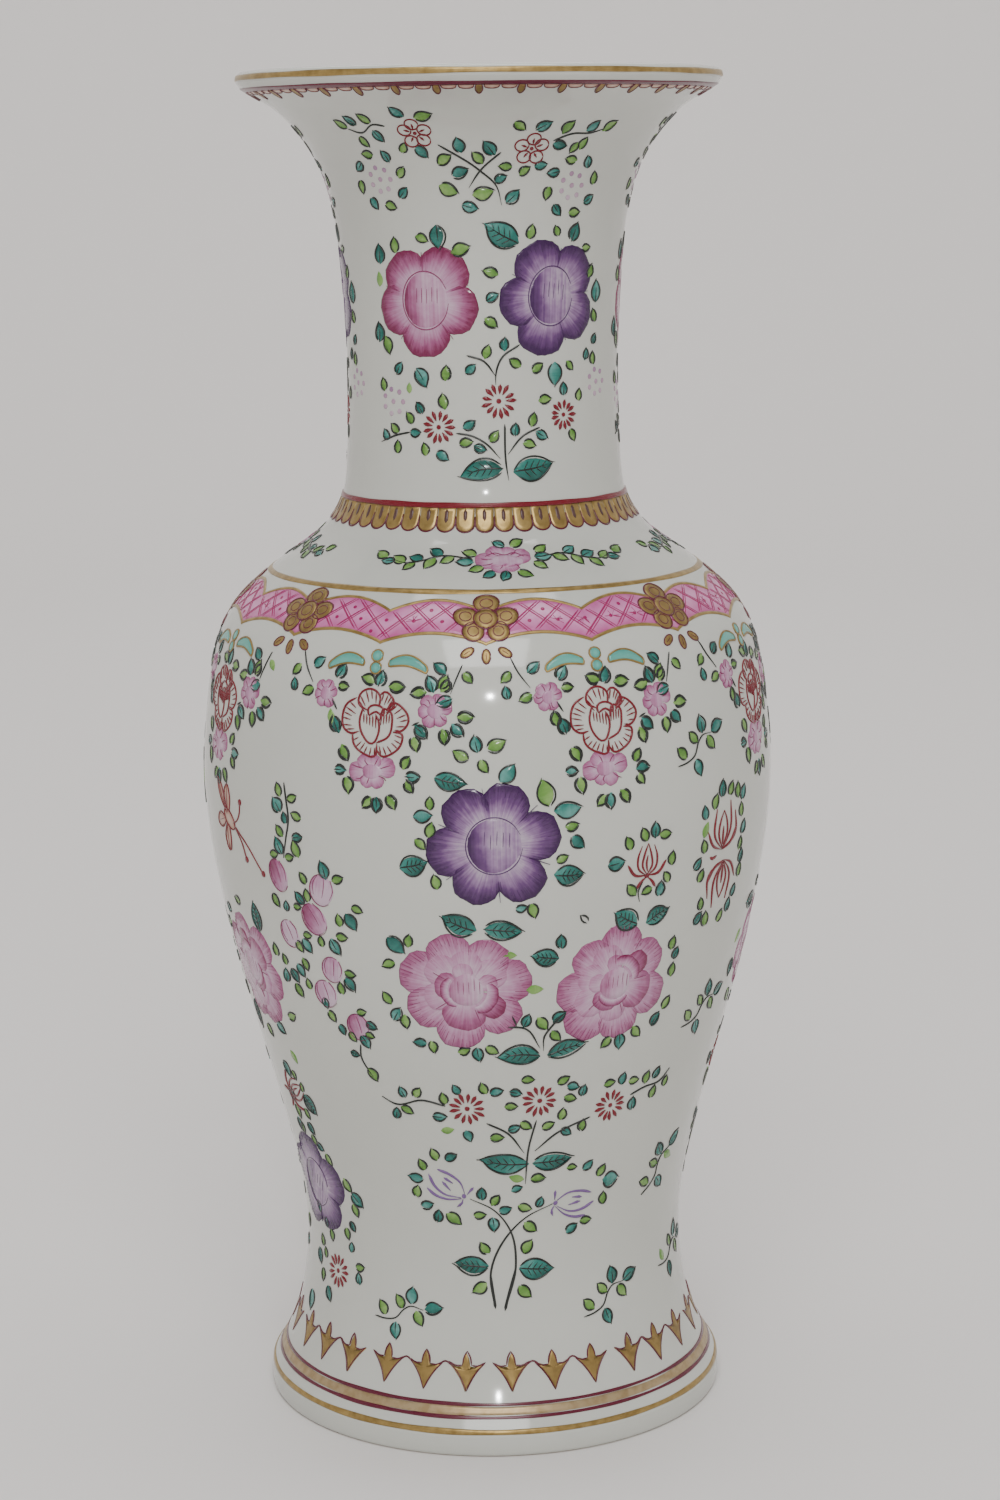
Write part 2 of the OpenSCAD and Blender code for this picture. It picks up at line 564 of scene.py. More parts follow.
rose = line_paint("rose_line", (122, 30, 80), "pink_enamel")
plum = line_paint("plum_line", (60, 18, 76), "purple_enamel")
lilac = line_paint("lilac_line", (110, 80, 134), "purple_enamel")
tan = Paint(
    "tan_washes",
    shaded_enamel("tan_wash_enamel", [(0.0, 190, 166, 150), (1.0, 172, 132, 112)]),
    "iron_red_enamel",
)
mauve = Paint(
    "mauve_petals",
    shaded_enamel(
        "mauve_petal_enamel",
        [(0.0, 184, 160, 176), (0.5, 164, 130, 154), (1.0, 124, 92, 134)],
        streak=0.4,
    ),
    "purple_enamel",
)


def band_paint(name, material, slot):
    """Paint that goes all round in one piece."""
    return Paint(name, material, slot, split=False)


# ---------------------------------------------------------------- leaves and stems


def leaf(spot, kind, x, y, angle, length, width=None, bold=1.0):
    """A leaf by its middle, the way its tip points, and its length.

    g is light green, t is teal, d is dark teal with veins, o is an outline with no colour in it.
    bold leaves have heavier outlines that sit further off their colour.
    """
    here = spot.at(x, y, turn=angle)
    width = width or length * {"g": 0.62, "t": 0.64, "d": 0.54, "o": 0.5}[kind]
    bend = chance.uniform(-0.07, 0.07) * length
    bare = kind == "g" and chance.random() < 0.06

    def body(part, across, grow=1.0):
        part, across = np.broadcast_arrays(np.asarray(part, float), across)
        half = 0.5 * width * grow * np.sin(math.pi * np.clip(part, 0.004, 0.996) ** 0.85) ** 0.85
        return np.stack(
            [(part - 0.5) * length * grow, half * across + bend * np.sin(math.pi * part)], axis=-1
        )

    if kind != "o":
        rows = 9 if kind == "d" else 7
        part = np.linspace(0, 1, rows)
        across = np.array([1.0, 0.88, 0.0, -0.88, -1.0])
        grid = body(part[:, None], across[None, :], chance.uniform(0.93, 1.03))
        grid = grid + chance.uniform(-0.04, 0.04, 2) * min(length, 6) * bold**2
        lifts = np.array([SUNK, FILL_LIFT, FILL_LIFT * 1.3, FILL_LIFT, SUNK])
        dark = {"g": 0.4, "t": 0.45, "d": 0.62}[kind]
        lean = chance.choice([-1, 1], 2)
        tone = dark + 0.2 * across[None, :] * lean[0] + 0.4 * (part[:, None] - 0.5) * lean[1]
        own = chance.uniform(0.3, 0.7) if kind == "d" else chance.random()
        strip(green if kind == "g" else teal, here, grid, lifts, tone, part[:, None] * 0.6, own)
    if bare:
        return
    for side in (1, -1):
        first = chance.uniform(0.0, 0.1)
        last = chance.uniform(0.94, 1.0)
        part = np.linspace(first, last, 5)
        edge = body(part, np.full(5, side * 1.04))
        if side == 1:
            edge = np.concatenate([edge, [[length * 0.56, bend * 0.3]]])
        heavy = chance.uniform(0.48, 0.62) * bold
        stroke(ink, here, edge, heavy, taper=(0.08, 0.18), step=1.0)
    if kind == "d":
        stroke(ink, here, body(np.array([0.02, 0.5, 0.84]), np.zeros(3)), 0.46, taper=(0.1, 0.4))
        for part in (0.25, 0.4, 0.55, 0.7):
            root = body(np.array([part]), np.zeros(1))[0]
            for side in (1, -1):
                tip = body(np.array([part + 0.13]), np.array([0.66 * side]))[0]
                stroke(ink, here, [root, tip], 0.36, taper=(0.1, 0.5), lift=INK_LIFT * 0.9)
    elif kind == "t" and chance.random() < 0.6:
        stroke(ink, here, body(np.array([0.0, 0.35, 0.65]), np.zeros(3)), 0.38, taper=(0.1, 0.5))


def leaves(spot, rows, bold=1.0):
    """Leaves from rows of kind, x, y, angle, length and perhaps width."""
    for row in rows:
        leaf(spot, *row, bold=bold)


def stems(spot, lines, width=0.54):
    for line in lines:
        stroke(ink, spot, line, width, taper=(0.06, 0.3))


def scatter(spot, kinds, path, length, lean=55):
    """A sprig: a stem along path with leaves set on alternate sides. kinds runs from its foot."""
    points, side, _ = curve_through(path, 0.8)
    stroke(ink, spot, path, 0.5, taper=(0.06, 0.4))
    for k, kind in enumerate(kinds):
        last = k == len(kinds) - 1
        share = 0.14 + 0.86 * k / (len(kinds) - 1)
        i = int(round(share * (len(points) - 1)))
        heading = math.degrees(math.atan2(-side[i][0], side[i][1]))
        hand = 0 if last else (1 if k % 2 else -1)
        turn = heading + hand * (lean + chance.uniform(-10, 10))
        away = 1.98 if last else 2.2
        x, y = points[i] + np.array(toward(turn)) * away
        leaf(spot, kind, x, y, turn, length * chance.uniform(0.88, 1.12))


# ---------------------------------------------------------------- flowers


def petal(paint, spot, angle, spread, inner, outer, lift, dark=1.0, dip=0.32, hatch=None):
    """One petal of a flower centred on the spot, shaded from pale inside to deep at its edge.

    dip is how far its outer edge falls back at its sides. hatch is a paint for short lines at the edge.
    """
    across = np.array([-1, -0.95, -0.8, -0.6, -0.4, -0.2, 0, 0.2, 0.4, 0.6, 0.8, 0.95, 1])
    out = np.array([0, 0.06, 0.3, 0.55, 0.78, 0.94, 1.0])
    phase = chance.random() * 6
    edge = 1 - dip * np.abs(across) ** 2.8 + 0.012 * np.cos(across * 11 + phase)
    lean = chance.uniform(-0.03, 0.03)
    tip = outer * (edge + lean * across)
    turn = math.radians(angle) + math.radians(spread) * across
    reach = inner + (tip[None, :] - inner) * out[:, None]
    grid = np.stack([reach * np.cos(turn), reach * np.sin(turn)], axis=-1)
    lifts = np.full(grid.shape[:2], lift)
    lifts[[0, -1]] = SUNK
    lifts[:, [0, -1]] = SUNK
    tone = dark * (0.04 + 0.94 * out[:, None] ** 1.35)
    strip(paint, spot, grid, lifts, tone, across, chance.random())
    if hatch:
        for share in np.arange(-0.84, 0.9, 1.2 / (outer * math.radians(spread))):
            way = math.radians(angle + spread * (share + chance.uniform(-0.02, 0.02)))
            far = np.interp(share, across, tip) * 0.965
            ends = [(far * math.cos(way), far * math.sin(way))]
            far -= outer * chance.uniform(0.08, 0.2)
            ends.append((far * math.cos(way), far * math.sin(way)))
            stroke(hatch, spot, ends, 0.26, taper=(0.05, 0.6), lift=lift + 0.05, step=3)


def flower_disc(paint, line, spot, rx, ry):
    """The round heart of a peony: deep on its left, pale on its right, ringed by a fine line."""

    def shade(x, y):
        return 0.2 + 0.75 * np.clip(-x / rx, 0, 1) ** 1.3 + 0.2 * np.clip(-y / ry, 0, 1)

    blob(paint, spot, oval(rx, ry, 20, ripple=0.02), lift=0.16, shade=shade)
    a = np.linspace(0.4, 2 * math.pi - 0.1, 14)
    edge = np.stack([rx * np.cos(a), ry * np.sin(a)], axis=1)
    stroke(line, spot, edge, 0.3, taper=(0.1, 0.1), lift=0.22)
    for k in range(5):
        x = rx * (0.55 - 0.22 * k)
        top = ry * chance.uniform(0.35, 0.55)
        stroke(line, spot, [(x, top), (x - 0.15, top - ry * 0.5)], 0.22, lift=0.24)


def peony(paint, line, spot, lobes, reach=(16, 15), disc=0.46, spread=None):
    """A single peony with petals at the given angles round a shaded heart."""
    count = len(lobes)
    for k, angle in enumerate(lobes):
        before = (angle - lobes[k - 1]) % 360
        after = (lobes[(k + 1) % count] - angle) % 360
        c, s = toward(angle)
        outer = math.hypot(reach[0] * c, reach[1] * s) * chance.uniform(0.97, 1.03)
        half = spread or 0.5 * max(before, after) + 4
        petal(paint, spot, angle, half, reach[0] * 0.28, outer, FILL_LIFT + 0.02 * (k % 3), hatch=line)
        c, s = toward(angle + after / 2)
        ends = [(reach[0] * r * c, reach[0] * r * s) for r in (0.52, 0.84)]
        stroke(line, spot, ends, 0.24, lift=0.19)
    flower_disc(paint, line, spot, reach[0] * disc * 0.95, reach[1] * disc * 1.08)


def double_peony(spot, reach, turn=0.0):
    """A full pink peony: an outer ring of lobes, a second one inside, and dark folds near its heart."""
    deep = 0.66
    outer = ((12, 1.0), (58, 0.92), (112, 0.96), (158, 1.06), (208, 0.98), (262, 1.0), (320, 0.95))
    for k, (angle, part) in enumerate(outer):
        lift = FILL_LIFT + 0.02 * (k % 3)
        petal(pink, spot, angle + turn, 32, reach * 0.3, reach * part, lift, deep, hatch=rose)
    inner = ((35, 0.7), (88, 0.66), (140, 0.74), (195, 0.66))
    for k, (angle, part) in enumerate(inner):
        lift = 0.15 + 0.015 * k
        petal(pink, spot, angle + turn, 32, reach * 0.2, reach * part, lift, deep * 0.66)
    folds = (
        (262, 44, 0.7, 0.8),
        (325, 26, 0.68, 0.95),
        (168, 42, 0.5, 0.8),
        (20, 24, 0.5, 0.6),
        (98, 30, 0.46, 0.4),
    )
    for k, (angle, half, part, dark) in enumerate(folds):
        petal(pink, spot, angle + turn, half, reach * 0.08, reach * part, lift=0.21 + 0.012 * k, dark=dark)
    for angle, half, low, high in ((335, 44, 0.3, 0.5), (190, 52, 0.27, 0.4)):
        petal(pink, spot, angle + turn, half, reach * low, reach * high, lift=0.285, dip=0.2)
    blob(
        pink,
        spot,
        oval(reach * 0.27, reach * 0.28, 18, ripple=0.03),
        lift=0.3,
        shade=lambda x, y: 0.25 - 1.1 * x / reach,
    )
    for k in range(5):
        x = reach * (0.2 - 0.08 * k)
        high = reach * chance.uniform(0.12, 0.2)
        stroke(rose, spot, [(x, high), (x, high - reach * 0.2)], 0.24, lift=0.36)
    for angle in (150, 215, 290, 20):
        c, s = toward(angle + turn)
        ends = [(reach * r * c, reach * r * s) for r in (0.34, 0.56)]
        stroke(rose, spot, ends, 0.22, lift=0.3)


def line_peony(spot):
    """A peony drawn in iron red lines: six hatched outer petals and a closed heart of two petals."""
    outer = (
        [(-5.0, 5.8), (-7.6, 4.2), (-8.8, 0.8), (-8.3, -1.8), (-6.3, -3.0), (-4.4, -2.6)],
        [(-5.9, -2.9), (-5.4, -5.6), (-2.6, -7.8), (0.2, -8.3), (0.8, -5.2)],
        [(0.8, -6.5), (2.0, -8.1), (4.8, -7.4), (7.2, -4.6), (7.2, -2.6), (4.9, -2.2)],
        [(4.9, -2.2), (7.4, -1.6), (8.8, 0.6), (7.2, 3.8), (4.6, 4.9), (3.0, 3.0)],
        [(-1.8, 2.8), (-4.4, 4.4), (-4.2, 6.6), (-1.2, 8.1), (1.1, 6.6), (1.2, 4.0)],
        [(1.2, 6.6), (2.2, 7.5), (4.4, 6.2), (4.9, 4.2), (3.0, 2.4)],
    )
    for edge in outer:
        stroke(red, spot, edge, 0.62, taper=(0.08, 0.08))
        path, _, part = curve_through(edge, 0.5)
        root = np.array((0.4, -1.2))
        for share in np.arange(0.16, 0.9, 0.115):
            tip = path[int(np.argmin(np.abs(part - share)))]
            low = tip + (root - tip) * chance.uniform(0.24, 0.36)
            stroke(red, spot, [tip + (low - tip) * 0.12, low], 0.42, taper=(0.1, 0.5))
    heart = (
        [(-1.6, 1.6), (-1.7, 3.4), (0.6, 4.2), (2.4, 3.0), (2.2, 1.8), (0.4, 2.6), (-1.6, 1.6)],
        [(-3.2, 3.4), (-4.0, 0.0), (-3.2, -3.0), (-0.4, -5.2), (1.0, -3.0), (1.0, 0.6), (0.2, 2.0)],
        [(0.6, -5.0), (3.8, -3.2), (4.6, 0.0), (4.2, 2.6), (2.6, 3.4), (1.4, 0.6)],
    )
    for edge in heart:
        stroke(red, spot, edge, 0.6, taper=(0.05, 0.05))
    for k in range(5):
        x = -2.9 + 0.8 * k
        stroke(red, spot, [(x, 2.0 - 0.1 * k), (x + 0.1, -0.2 - 0.3 * k)], 0.4, taper=(0.1, 0.5))
    for k in range(4):
        x = 1.8 + 0.7 * k
        stroke(red, spot, [(x, 2.2), (x - 0.1, -0.6 + 0.2 * k)], 0.4, taper=(0.1, 0.5))


def daisy(spot, reach):
    """A daisy of short red strokes round a dot."""
    reach = reach * 1.06
    rays = 13
    for k in range(rays):
        a = 2 * math.pi * (k + chance.uniform(-0.12, 0.12)) / rays
        c, s = math.cos(a), math.sin(a)
        inner, outer = reach * 0.38, reach * chance.uniform(0.92, 1.04)
        ray = [(inner * c, inner * s), (outer * c, outer * s)]
        stroke(red, spot, ray, 1.25, taper=(0.6, 0.3), step=0.7)
    blob(red, spot, oval(reach * 0.15, reach * 0.15, 8), lift=0.14)


def red_flower(spot):
    """A little flower of five round petals drawn in red, with a dash in each."""
    reach = 4.4
    for k in range(5):
        a = math.radians(90 + 72 * k + chance.uniform(-6, 6))
        way = np.array([math.cos(a), math.sin(a)])
        centre = way * reach * 0.62
        edge = closed(centre + oval(reach * 0.4, reach * 0.37, 10))
        stroke(red, spot, edge, 0.42, (0.05, 0.05), step=0.8)
        stroke(red, spot, [way * reach * 0.3, way * reach * 0.66], 0.7, taper=(0.5, 0.5))
    blob(red, spot, oval(reach * 0.12, reach * 0.12, 7), lift=0.2)


def dot_cluster(spot, leafy=True):
    """Pale mauve berries, in a ring of small leaves if leafy."""
    for k in range(8):
        a = 2 * math.pi * k / 7 if k else 0
        r = 3.1 if k else 0
        centre = (r * math.cos(a), r * math.sin(a))
        edge = np.array(centre) + oval(0.7, 0.7, 8)
        blob(mauve, spot, edge, centre=centre, lift=0.1, shade=lambda x, y: 0.35 + 0.1 * y)
    for k in range(8 if leafy else 0):
        angle = 360 * k / 8 + 15
        c, s = toward(angle)
        leaf(spot, "gt"[k % 2], 7.0 * c, 7.0 * s, angle + 60 + chance.uniform(-25, 25), 3.6)


# ---------------------------------------------------------------- bands


TRELLIS_Z = 217
COLLAR_Z = 241.9
RIM_Z = 344.9


def shoulder_top(azimuth):
    """Upper edge of the trellis band: two humps in each eighth of the way round."""
    part = (np.asarray(azimuth) % 22.5) / 22.5
    return 218.9 + 2.6 * np.sin(math.pi * part) ** 0.85


def shoulder_bottom(azimuth):
    """Lower edge of the trellis band, with as many humps."""
    part = (np.asarray(azimuth) % 22.5) / 22.5
    return 212.2 + 2.4 * np.sin(math.pi * part) ** 0.8


def trellis():
    """The pink band with its crossing lines, dots and gilt edges."""
    fill = band_paint(
        "trellis_ground",
        shaded_enamel(
            "trellis_pink_enamel",
            [(0.0, 178, 84, 138), (0.5, 206, 136, 180), (1.0, 180, 90, 144)],
            streak=0.6,
            fine=1.3,
        ),
        "pink_enamel",
    )
    line_enamel = plain_enamel("trellis_line_enamel", colour(146, 8, 84))
    lines = band_paint("trellis_lines", line_enamel, "pink_enamel")
    edges = band_paint("trellis_gilt_edges", band_gold, "gilding")
    ring(fill, shoulder_bottom, shoulder_top, lift=0.08, columns=8, count=576, wobble=0)
    fill.build(stands_for="trellis_band")
    s = float(up_to(TRELLIS_Z))
    around = 2 * math.pi * float(radius_at(s))
    fall = np.linspace(-7, 7, 29)
    path_z = height_at(s + fall)
    count = 56
    for k in range(count):
        for hand in (1, -1):
            azimuth = 360 * k / count
            path_az = azimuth + hand * fall * 360 / around
            inside = (path_z > shoulder_bottom(path_az) + 0.2) & (path_z < shoulder_top(path_az) - 0.2)
            if inside.sum() > 4:
                centre = Spot(azimuth, TRELLIS_Z)
                low, high = fall[inside].min(), fall[inside].max()
                ends = [(hand * y, y) for y in (low, (low + high) / 2, high)]
                width = chance.uniform(0.4, 0.6)
                stroke(lines, centre, ends, width, taper=(0.05, 0.05), lift=0.16, step=1.6)
                stroke(lines, centre.at(0.9, 0), ends, 0.3, taper=(0.1, 0.1), lift=0.15, step=1.6)
    for k in range(count):
        for row in (-3.4, 0, 3.4):
            azimuth = 360 * (k + (0.5 if row == 0 else 0.05)) / count
            place = Spot(azimuth, TRELLIS_Z)
            z = float(height_at(s + row))
            if shoulder_bottom(azimuth) + 1 < z < shoulder_top(azimuth) - 1 and chance.random() < 0.75:
                blob(lines, place.at(0, row), oval(0.55, 0.55, 7), lift=0.14)
            if row == 0 and chance.random() < 0.4:
                burst = place.at(chance.uniform(-1, 1), 0)
                for _ in range(7):
                    a = chance.uniform(0, 2 * math.pi)
                    c, d = math.cos(a), math.sin(a)
                    far = chance.uniform(1.4, 2.3)
                    ends = [(0.2 * c, 0.2 * d), (far * c, far * d)]
                    stroke(lines, burst, ends, 0.42, lift=0.17, step=2)
    lines.build()
    wavy_line(edges, lambda a: shoulder_top(a) + 0.1, 1.0, 0.2)
    wavy_line(edges, lambda a: shoulder_bottom(a) - 0.1, 1.0, 0.2)
    edges.build()


def floret(azimuth):
    """A gilt flower with five petals on the trellis, and the drops that hang under it."""
    spot = Spot(azimuth, 217.6)
    petals = ((88, 3.2, 2.8), (172, 3.0, 2.7), (8, 3.0, 2.7), (232, 2.7, 2.7), (308, 2.7, 2.7))
    for angle, wide, tall in petals:
        centre = np.array(toward(angle)) * (5.0, 4.7)
        edge = centre + oval(wide, tall, 16, ripple=0.02)
        blob(gold, spot, edge, centre=centre, lift=0.22)
        rim(puce, spot, edge, 0.42, lift=0.28)
        rim(puce, spot, centre + oval(wide * 0.5, tall * 0.52, 12), 0.34, lift=0.32)
    blob(gold, spot, oval(3.0, 2.9, 16), lift=0.28)
    for r, width in ((3.0, 0.42), (1.6, 0.34)):
        rim(puce, spot, oval(r, r, 14), width, lift=0.37)
    for x, y, turn in ((-4.6, -9.4, -55), (0, -10.4, 0), (4.6, -9.4, 55)):
        drop = spot.at(x, y, turn=turn)
        edge = oval(1.05, 1.9, 12)
        blob(gold, drop, edge, lift=0.14)
        rim(puce, drop, edge, 0.34)
        stroke(puce, drop, [(0, -1.0), (0, 0.8)], 0.22, lift=0.24)
    for hand in (1, -1):
        side = spot.at(0, 0, flip=hand < 0)
        if hand > 0:
            stem = [(5.8, -10.8), (7.6, -14.4), (10.6, -18.4)]
        else:
            stem = [(5.8, -12.4), (7.4, -16), (8.8, -19.6)]
        stroke(ink, side, stem, 0.42, taper=(0.1, 0.4))
        leaves(side, [
            ("t", 11.4, -13.4, 40, 4.0),
            ("g", 4.6, -15.6, 230, 3.6),
            ("g", 9.4, -20.6, 205, 3.8) if hand > 0 else ("g", 10.6, -16.6, 120, 4.0),
            ("t", 4.8, -19.4, 100, 3.4) if hand > 0 else ("t", 10.4, -21.4, -20, 4.4),
        ])


def crescents(azimuth):
    """Two turquoise crescents either side of two beads, in the middle of a bay."""
    spot = Spot(azimuth, 208)
    for hand in (1, -1):
        side = spot.at(0, 0, flip=hand < 0)
        part = np.linspace(0, 1, 11)
        middle = np.stack([3.4 + 9.6 * part, -0.6 + 1.5 * np.sin(math.pi * part) - 1.4 * part], axis=1)
        half = 1.35 * np.sin(math.pi * np.clip(part, 0.03, 0.97)) ** 0.25
        across = np.array([1, 0.85, 0, -0.85, -1])
        grid = middle[:, None] + np.stack([0 * across, across], axis=1)[None] * half[:, None, None]
        lifts = [SUNK, 0.16, 0.22, 0.16, SUNK]
        strip(turquoise, side, grid, lifts, 0.4 + 0.3 * across, 0, chance.random())
        rim(gold, side, np.concatenate([grid[:, 0], grid[::-1, -1]]), 0.56, lift=0.24)
    for y, r in ((1.2, 1.5), (-1.9, 1.45)):
        edge = np.array((0, y)) + oval(r, r, 12)
        blob(turquoise, spot, edge, centre=(0, y), lift=0.2)
        rim(gold, spot, edge, 0.5, lift=0.25)


def rim_border():
    """Pendants under the lip: gold drops outlined in puce, with two short petals between them."""
    line = band_paint("rim_puce_edge", puce.material, "puce_enamel")
    ring(line, level(RIM_Z), level(RIM_Z + 1.0), wobble=0.05)
    line.build(stands_for="rim_puce_line")
    drop = [(-0.7, 0.2), (-0.9, -1.4), (-0.6, -3.0), (0, -3.7), (0.6, -3.0), (0.9, -1.4), (0.7, 0.2)]
    small = [(-1.9, 0.1), (-1.5, -1.0), (0, -1.35), (1.5, -1.0), (1.9, 0.1)]
    for k in range(36):
        spot = Spot(10 * k, RIM_Z)
        blob(gold, spot, drop, centre=(0, -1.3), lift=0.13)
        stroke(puce, spot, drop, 0.34, EVEN)
        for hand in (1, -1):
            side = Spot(10 * k + 5, RIM_Z).at(hand * 2.1, 0)
            blob(tan, side, small, centre=(0, -0.4), lift=0.12)
            stroke(puce, side, small, 0.28, EVEN)


def collar():
    """Gilt tongues outlined in puce under the red line at the foot of the neck."""
    tongues = band_paint("collar_tongues", band_gold, "gilding")
    shadow = plain_enamel("collar_shadow_enamel", colour(74, 44, 42), 0.3)
    shade = band_paint("collar_slots", shadow, "puce_enamel")
    count = 50
    for k in range(count):
        spot = Spot(360 * k / count, COLLAR_Z)
        wide = math.pi * float(radius_at(spot.s)) / count
        a = np.linspace(math.pi, 2 * math.pi, 11)
        edge = np.stack([wide * np.cos(a), -4.2 + wide * 0.95 * np.sin(a)], axis=1)
        edge = np.concatenate([[(-wide, 0.2), (-wide, -2)], edge, [(wide, -2), (wide, 0.2)]])
        blob(tongues, spot, edge, centre=(0, -2.8), lift=0.18)
        low = edge[1:-1] + np.array((chance.uniform(-0.1, 0.1), chance.uniform(-0.25, 0.1)))
        stroke(puce, spot, low, 0.42, taper=(0.1, 0.1), lift=0.25)
        slot = [(0, -0.3), (0, chance.uniform(-4.2, -3.4))]
        stroke(shade, spot, slot, 1.25, taper=(0.05, 0.15), lift=0.28)
    tongues.build(stands_for="collar_gilt_band")
    shade.build()
    line = band_paint("collar_red_edge", red.material, "iron_red_enamel")
    ring(line, level(COLLAR_Z), level(COLLAR_Z + 1.3), lift=0.3)
    line.build(stands_for="collar_red_line")


def star(azimuth):
    """An ivy-shaped gilt star of the border above the foot, outlined in puce."""
    spot = Spot(azimuth, 20.4)
    half = [(0, 4.9), (0.85, 3.2), (1.15, 1.3), (2.6, 1.1), (4.8, 2.1), (3.1, 0.3), (1.6, -1.9), (0.7, -3.7)]
    right = np.array(half + [(0, -5.4)])
    left = right[-2:0:-1] * (-1, 1)
    blob(gold, spot, np.concatenate([right, left]), centre=(0, 0.2), lift=0.15)
    away = np.array((chance.uniform(-0.3, 0.3), chance.uniform(-0.1, 0.3)))
    for hand in (1, -1):
        for part in (right[:3], right[2:5], right[4:]):
            stroke(puce, spot, part * (hand, 1) + away, 0.42, taper=(0.1, 0.1))


def star_border():
    """Thirty stars in ten linked groups of three."""
    for group in range(10):
        centre = 16.2 + 36 * group
        for k in (-1, 0, 1):
            star(centre + 11.6 * k)
        for k in (-0.5, 0.5):
            spot = Spot(centre + 11.6 * k, 22.2)
            stroke(puce, spot, [(-1.7, -0.5), (0, 0.5), (1.7, -0.5)], 0.5, taper=(0.05, 0.05))


def plain_lines():
    """The plain gilt and puce lines that stand for the CAD's rings."""
    rows = (
        ("lip_gilt_edge", band_gold, "gilding", 347.7, 349.1, "rim_gilt_line"),
        ("shoulder_gilt_edge", band_gold, "gilding", 222.9, 223.9, "shoulder_gilt_line"),
        ("foot_upper_puce_edge", puce.material, "puce_enamel", 12.3, 13.1, "foot_puce_line_upper"),
        ("foot_gilt_edge", foot_gold, "gilding", 10.25, 12.25, "foot_gilt_band"),
        ("foot_lower_puce_edge", puce.material, "puce_enamel", 9.4, 10.2, "foot_puce_line_lower"),
        ("foot_roll_gilt_edge", band_gold, "gilding", 5.9, 7.3, "foot_gilt_line"),
    )
    for name, material, slot, low, high, node in rows:
        paint = band_paint(name, material, slot)
        ring(paint, level(low), level(high), lift=0.14)
        paint.build(stands_for=node)


# ---------------------------------------------------------------- the body


def body():
    """The glazed body, turned finely from the frame's section, with its bare resting ring."""
    count = 144
    turn = np.arange(count) * 2 * math.pi / count
    loop = body_loop[body_loop[:, 0] > 1.0]
    r, z = loop[:, 0], loop[:, 1]
    verts = np.stack(
        [r[:, None] * np.sin(turn), -r[:, None] * np.cos(turn), np.repeat(z[:, None], count, axis=1)],
        axis=-1,
    )
    rows = len(loop)
    index = np.arange(rows * count).reshape(rows, count)
    after = np.roll(index, -1, axis=1)
    sides = np.stack([index[:-1], after[:-1], after[1:], index[1:]], axis=-1).reshape(-1, 4)
    low, high = rows * count, rows * count + 1
    points = np.concatenate([verts.reshape(-1, 3), [(0, 0, z[0])], [(0, 0, z[-1])]])
    under = np.stack([after[0], index[0], np.full(count, low)], axis=1)
    floor = np.stack([index[-1], after[-1], np.full(count, high)], axis=1)
    brush = np.zeros((len(points), 3))
    thing = make_mesh("glazed_body", [(points, [sides, under, floor], brush)], glaze())
    thing.data.materials.append(biscuit())
    heights = np.abs(z[:-1]) + np.abs(z[1:])
    bare = np.repeat(heights < 1.0, count)
    which = np.zeros(len(thing.data.polygons), np.int32)
    which[: len(bare)] = bare
    thing.data.polygons.foreach_set("material_index", which)
    thing.data.update()
    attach(thing, "root")
    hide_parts("vase_body")


body()
plain_lines()
rim_border()
collar()
trellis()
for eighth in range(8):
    floret(45 * eighth)
    crescents(45 * eighth + 22.5)
star_border()


# ---------------------------------------------------------------- the painting

PINK_LOBES = (54, 130, 196, 270, 343)
PURPLE_LOBES = (40, 116, 188, 256, 328)
BELLY_LOBES = (12, 74, 128, 188, 244, 307)


def lotus(spot, size, width):
    """An open red lotus pointing up, with teardrop petals and strokes that spread to the sides."""
    here = spot.at(0, 0, size=size)
    for hand in (1, -1):
        stroke(red, here, [(0, 0), (hand * 2.7, 2.2), (hand * 3.0, 5.0), (hand * 1.9, 8.2)], width)
        stroke(red, here, [(0, 0.4), (hand * 1.5, 2.8), (hand * 1.1, 5.6), (0, 8.8)], width)
        stroke(red, here, [(0, 0.2), (hand * 3.4, 0.4), (hand * 6.0, 3.6)], width * 1.5, (0.5, 0.15))
        stroke(red, here, [(0, -0.2), (hand * 1.8, -1.6), (hand * 3.0, -3.4)], width * 1.5, (0.6, 0.15))
    stroke(red, here, [(0.1, 1.2), (-0.3, 3.4), (0, 5.6)], width)
    blob(red, here, oval(0.8, 0.6, 8), lift=0.15)


